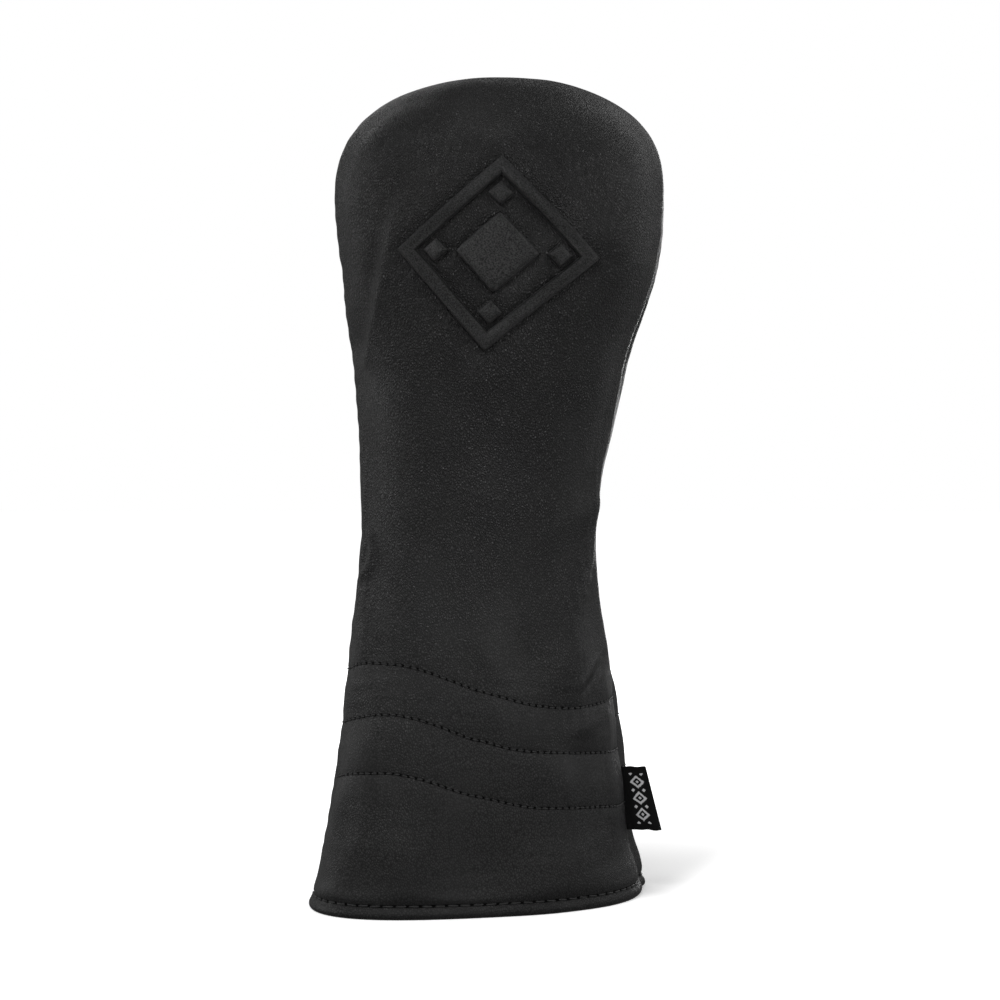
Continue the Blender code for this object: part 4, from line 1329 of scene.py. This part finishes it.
def diamond(name, centre_across, centre_up, half_across, half_up):
    reach = 1 / math.hypot(1 / half_across, 1 / half_up)

    def spread(first, second, scale):
        return (centre_across + (first + second) / 2 * half_across * scale,
                centre_up + (first - second) / 2 * half_up * scale)

    edge = EDGE / reach
    steps = max(int((reach - EDGE[-1]) / 0.55), 2)
    half = np.concatenate([edge, np.linspace(edge[-1], 1, steps + 1)[1:]])
    marks = np.concatenate([half - 1, (1 - half)[::-1][1:]])
    first, second = np.meshgrid(marks, marks, indexing="ij")
    inset = (1 - np.maximum(np.abs(first), np.abs(second))) * reach
    # the corners are a little rounded
    soft_inset = reach * (1 - (np.abs(first) ** 9 + np.abs(second) ** 9) ** (1 / 9))
    inner = np.minimum(inset, soft_inset + 0.4 * np.clip(inset, 0, 1))
    height = puff_profile(np.maximum(inner, 0), reach)
    sheets, maps = [], []
    for scale, level in ((1.0, height), (1 - COVER_INSET / reach, np.maximum(height - COVER, 0.0))):
        across, up = spread(first, second, scale)
        sheets.append(emblem_point(across, up, np.where(inset <= 1e-9, RIM, level)))
        maps.append(np.stack([across, up], -1).reshape(-1, 2))
    obj = add_mesh(f"embroidery_{name}", shell(*sheets), "embroidery", f"emblem_{name}_cover",
                   uv=np.concatenate(maps))
    mark_points(obj, "inset", np.concatenate([inset.ravel(), 0 * inset.ravel()]))

    coarse = np.linspace(-1, 1, 13)
    first, second = np.meshgrid(coarse, coarse, indexing="ij")
    across, up = spread(first, second, 1 - 1.7 / reach)
    inset = reach * (1 - np.maximum(np.abs(first), np.abs(second)))
    top = emblem_point(across, up, FOAM_EDGE + 1.25 * quarter_round(inset / 1.6))
    add_mesh(f"puff_{name}", shell(top, emblem_point(across, up, FOAM_BOTTOM)), "puff_foam",
             f"emblem_{name}_core")


def frame_band():
    """The diamond-shaped band round the five diamonds."""
    half_across, half_up = EMBLEM_HALF
    reach = 1 / math.hypot(1 / half_across, 1 / half_up)
    corners = np.array([(half_across, 0.0), (0.0, half_up), (-half_across, 0.0), (0.0, -half_up)])
    side_length = math.hypot(half_across, half_up)
    per_side = int(side_length / 0.6)
    share = np.arange(per_side) / per_side
    outline = np.concatenate([corners[k] + (corners[(k + 1) % 4] - corners[k]) * share[:, None]
                              for k in range(4)])

    def strip(insets, heights):
        rows = []
        for inset, height in zip(insets, heights):
            row = outline * (1 - inset / reach)
            rows.append(emblem_point(row[:, 0], row[:, 1], height))
        return np.array(rows)

    band = EMBLEM_BAND
    middle = np.linspace(EDGE[-1], band - EDGE[-1], 9)[1:-1]
    across = np.concatenate([EDGE, middle, band - EDGE[::-1]])
    inset = np.minimum(across, band - across)
    heights = puff_profile(inset, band / 2)
    inner_heights = np.maximum(heights - COVER, 0.0)
    heights[[0, -1]] = inner_heights[[0, -1]] = RIM
    inner_across = COVER_INSET + (across / band) * (band - 2 * COVER_INSET)
    shape = shell(strip(across, heights), strip(inner_across, inner_heights), ring=True)
    along = np.concatenate([(k + share) * side_length for k in range(4)])
    sheet_map = np.stack(np.broadcast_arrays(along[None, :], across[:, None]), -1).reshape(-1, 2)
    obj = add_mesh("embroidery_frame", shape, "embroidery", "emblem_frame_cover",
                   uv=np.concatenate([sheet_map] * 2))
    insets = np.repeat(inset, len(outline))
    mark_points(obj, "inset", np.concatenate([insets, 0 * insets]))

    core = np.linspace(1.6, band - 1.6, 7)
    dome = np.sqrt(np.clip(1 - ((core - band / 2) / (band / 2 - 1.5)) ** 2, 0, 1))
    shape = shell(strip(core, FOAM_EDGE + 1.3 * dome), strip(core, 0 * core + FOAM_BOTTOM),
                  ring=True)
    add_mesh("puff_frame", shape, "puff_foam", "emblem_frame_core")


frame_band()
for name, sizes in DIAMONDS.items():
    diamond(name, *sizes)


# ---- Loop label ----
def loop_label():
    """A ribbon folded double at its outer end, its two tails side by side into the right seam."""
    height = 26.9
    half_gap, thick = 0.30, 0.34
    tail = 1.5                            # length inside the seam
    fold_room = 0.6                       # the flat part stops this far short of the reach
    bottom_reach, top_reach = 12.8, 10.9
    joint = [j for j in frame["joints"] if j["name"] == "label_flap"][0]
    root = np.array(joint["pos_m"]) * 1000
    axis = np.array(joint["axis"])
    axis = axis / np.linalg.norm(axis)
    out_dir = np.array([1.0, 0.0, 0.0])
    facing = np.cross(axis, out_dir)
    facing /= np.linalg.norm(facing)
    if facing[1] > 0:
        facing = -facing

    up = np.linspace(0, 1, 55)[:, None]
    reach = bottom_reach + (top_reach - bottom_reach) * up
    fold = np.linspace(-math.pi / 2, math.pi / 2, 9)[1:-1]
    flat = np.ones(26)
    share = np.concatenate([np.linspace(0, 1, 26), np.ones(len(fold)), np.linspace(1, 0, 26)])
    sheets, maps, fronts = [], [], []
    for radius in (half_gap + thick, half_gap):
        across = radius * np.concatenate([-flat, np.sin(fold), flat])
        beyond = radius * np.concatenate([0 * flat, np.cos(fold), 0 * flat])
        along = -tail + share * (reach - fold_room + tail) + beyond
        # flattened at the fold and pinched at the seam
        pinch = 0.45 + 0.55 * smoothstep(along, -0.5, 3.0)
        press = 1 - 0.25 * smoothstep(along, reach - 2.5, reach)
        # bowed and rippled up its height, its lower outer corner turned back
        curl = 0.9 * ((up - 0.55) ** 2 * 1.6 - 0.15) * smoothstep(along, 1.0, 11.0)
        curl = curl + 0.35 * np.sin(up * 7.0 + 0.8) * smoothstep(along, 3.0, 11.0)
        curl = curl + 1.1 * smoothstep(along, 6.0, 11.8) * smoothstep(-up, -0.22, 0.02)
        rise = 0.16 * np.sin(along * 1.1 + 3.0 * up) * smoothstep(along, 1.0, 6.0)
        sheets.append(root + axis * (up * height + rise)[..., None] + out_dir * along[..., None]
                      + facing * (curl - across * pinch * press)[..., None])
        ribbon = np.stack(np.broadcast_arrays(along, up * height), -1)
        maps.append(ribbon.reshape(-1, 2))
        fronts.append(np.tile(across < 0, len(up)))
    obj = add_mesh("loop_label", shell(*sheets), "woven_label", "label", body=None,
                   uv=np.concatenate(maps))
    mark_points(obj, "front_face", np.concatenate(fronts))

    across_dir = out_dir - axis * float(out_dir @ axis)
    across_dir /= np.linalg.norm(across_dir)
    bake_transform(obj)


loop_label()

# ---- Studio, in metres ----
scene = bpy.context.scene


def floor_material():
    """Pale paper that glows to the camera, less so close to the cover, with a painted shadow taken out
    of its glow.
    """
    mat = Shader("pale_floor", grey(0.92))
    paper = mat.mix(mat.noise(scale=3.0, detail=3.0), grey(0.90), grey(0.92))
    away = mat.add("VectorMath", {0: mat.spot}, operation="LENGTH").outputs["Value"]
    glow = mat.ramp(away, start=0.24, end=0.62, low=0.62)
    # painted shadow, taken out of the glow, that runs back and to the right from the hem; its edge
    # blurs farther back
    axes = mat.axes(mat.spot)
    x, y = axes["X"], axes["Y"]
    edge = mat.minus(x, mat.math("MULTIPLY_ADD", y, 0.33, 0.075))
    blur = mat.math("MAXIMUM", mat.math("MULTIPLY_ADD", y, 0.04, 0.013), 0.006)
    edge = mat.ramp(mat.over(edge, blur), start=1.0, end=-1.0)
    depth = mat.times(mat.ramp(y, start=0.06, end=0.22, low=0.40, high=0.0),
                      mat.ramp(y, start=-0.02, end=0.012))
    shade = mat.times(mat.times(edge, depth), mat.ramp(x, start=-0.045, end=0.0))
    seen = mat.add("LightPath").outputs["Is Camera Ray"]
    return mat.finish({
        "Roughness": 0.9,
        "Specular IOR Level": 0.05,
        "Base Color": paper,
        "Emission Color": (1, 1, 1, 1),
        "Emission Strength": mat.times(mat.minus(glow, shade), seen)})


def floor_disc():
    rings, sides = (0.3, 0.8, 2.0, 6.0, 30.0), 48
    points = [(0.0, 0.0, 0.0)]
    for radius in rings:
        points += [(radius * math.cos(angle), radius * math.sin(angle), 0.0)
                   for angle in np.arange(sides) / sides * 2 * math.pi]
    faces = [(0, 1 + j, 1 + (j + 1) % sides) for j in range(sides)]
    for i in range(len(rings) - 1):
        near, far = 1 + i * sides, 1 + (i + 1) * sides
        faces += [(near + j, far + j, far + (j + 1) % sides, near + (j + 1) % sides)
                  for j in range(sides)]
    mesh = bpy.data.meshes.new("floor")
    mesh.from_pydata(points, [], faces)
    mesh.materials.append(floor_material())
    obj = bpy.data.objects.new("floor", mesh)
    obj.visible_glossy = False
    scene.collection.objects.link(obj)


LIGHT_DISTANCE = 1.35
LIGHT_AIM = (0, 0, 0.17)
# name, azimuth from the camera's side towards the right, elevation, watts, size
SOFTBOXES = [
    ("key", -25, 48, 6.2, 0.55),
    ("front", 10, 10, 2.3, 0.6),
    ("front_left", -25, 10, 1.0, 0.6),
    ("right_low", 70, 10, 3.2, 0.6),
    ("right_high", 68, 40, 1.0, 0.5),
    ("left", -92, 10, 2.1, 0.6),
    ("back_left", -118, 10, 1.6, 0.6),
    ("back_right", 125, 14, 1.2, 0.6),
    ("back_high", 140, 40, 1.8, 0.6),
    ("back", -155, 38, 2.0, 0.6),
    ("rim", 169, 8, 6.5, 0.55),
]


def softbox(name, azimuth, elevation, watts, size):
    around, above = math.radians(azimuth), math.radians(elevation)
    towards = Vector((math.sin(around) * math.cos(above), -math.cos(around) * math.cos(above),
                      math.sin(above)))
    light = bpy.data.lights.new(name, "AREA")
    light.shape = "RECTANGLE"
    light.size = light.size_y = size
    light.energy = watts
    obj = bpy.data.objects.new(name, light)
    obj.location = Vector(LIGHT_AIM) + towards * LIGHT_DISTANCE
    obj.rotation_euler = (-towards).to_track_quat("-Z", "Y").to_euler()
    scene.collection.objects.link(obj)


def studio_world():
    """White to the camera, a dim fill to everything else."""
    world = bpy.data.worlds.new("studio")
    world.use_nodes = True
    tree = world.node_tree
    background = tree.nodes["Background"]
    background.inputs["Color"].default_value = (1.0, 1.0, 1.0, 1)
    sight = tree.nodes.new("ShaderNodeLightPath")
    strength = tree.nodes.new("ShaderNodeMapRange")
    strength.inputs["To Min"].default_value = 0.15
    strength.inputs["To Max"].default_value = 1.0
    tree.links.new(sight.outputs["Is Camera Ray"], strength.inputs["Value"])
    tree.links.new(strength.outputs["Result"], background.inputs["Strength"])
    scene.world = world


def add_camera():
    """Level, looking at the front."""
    distance, view_width = 950.0, 410.0    # millimetres; the view's width at the cover
    data = bpy.data.cameras.new("camera")
    data.sensor_width = 36.0
    data.lens = 36.0 * distance / view_width
    data.clip_start = 0.01
    camera = bpy.data.objects.new("camera", data)
    camera.location = (0.00503, -distance / 1000, 0.16236)
    camera.rotation_euler = (math.pi / 2, 0, 0)
    scene.collection.objects.link(camera)
    scene.camera = camera


floor_disc()
for box in SOFTBOXES:
    softbox(*box)
studio_world()
scene.view_settings.view_transform = "Standard"
scene.view_settings.look = "None"
scene.view_settings.exposure = 0.0
add_camera()

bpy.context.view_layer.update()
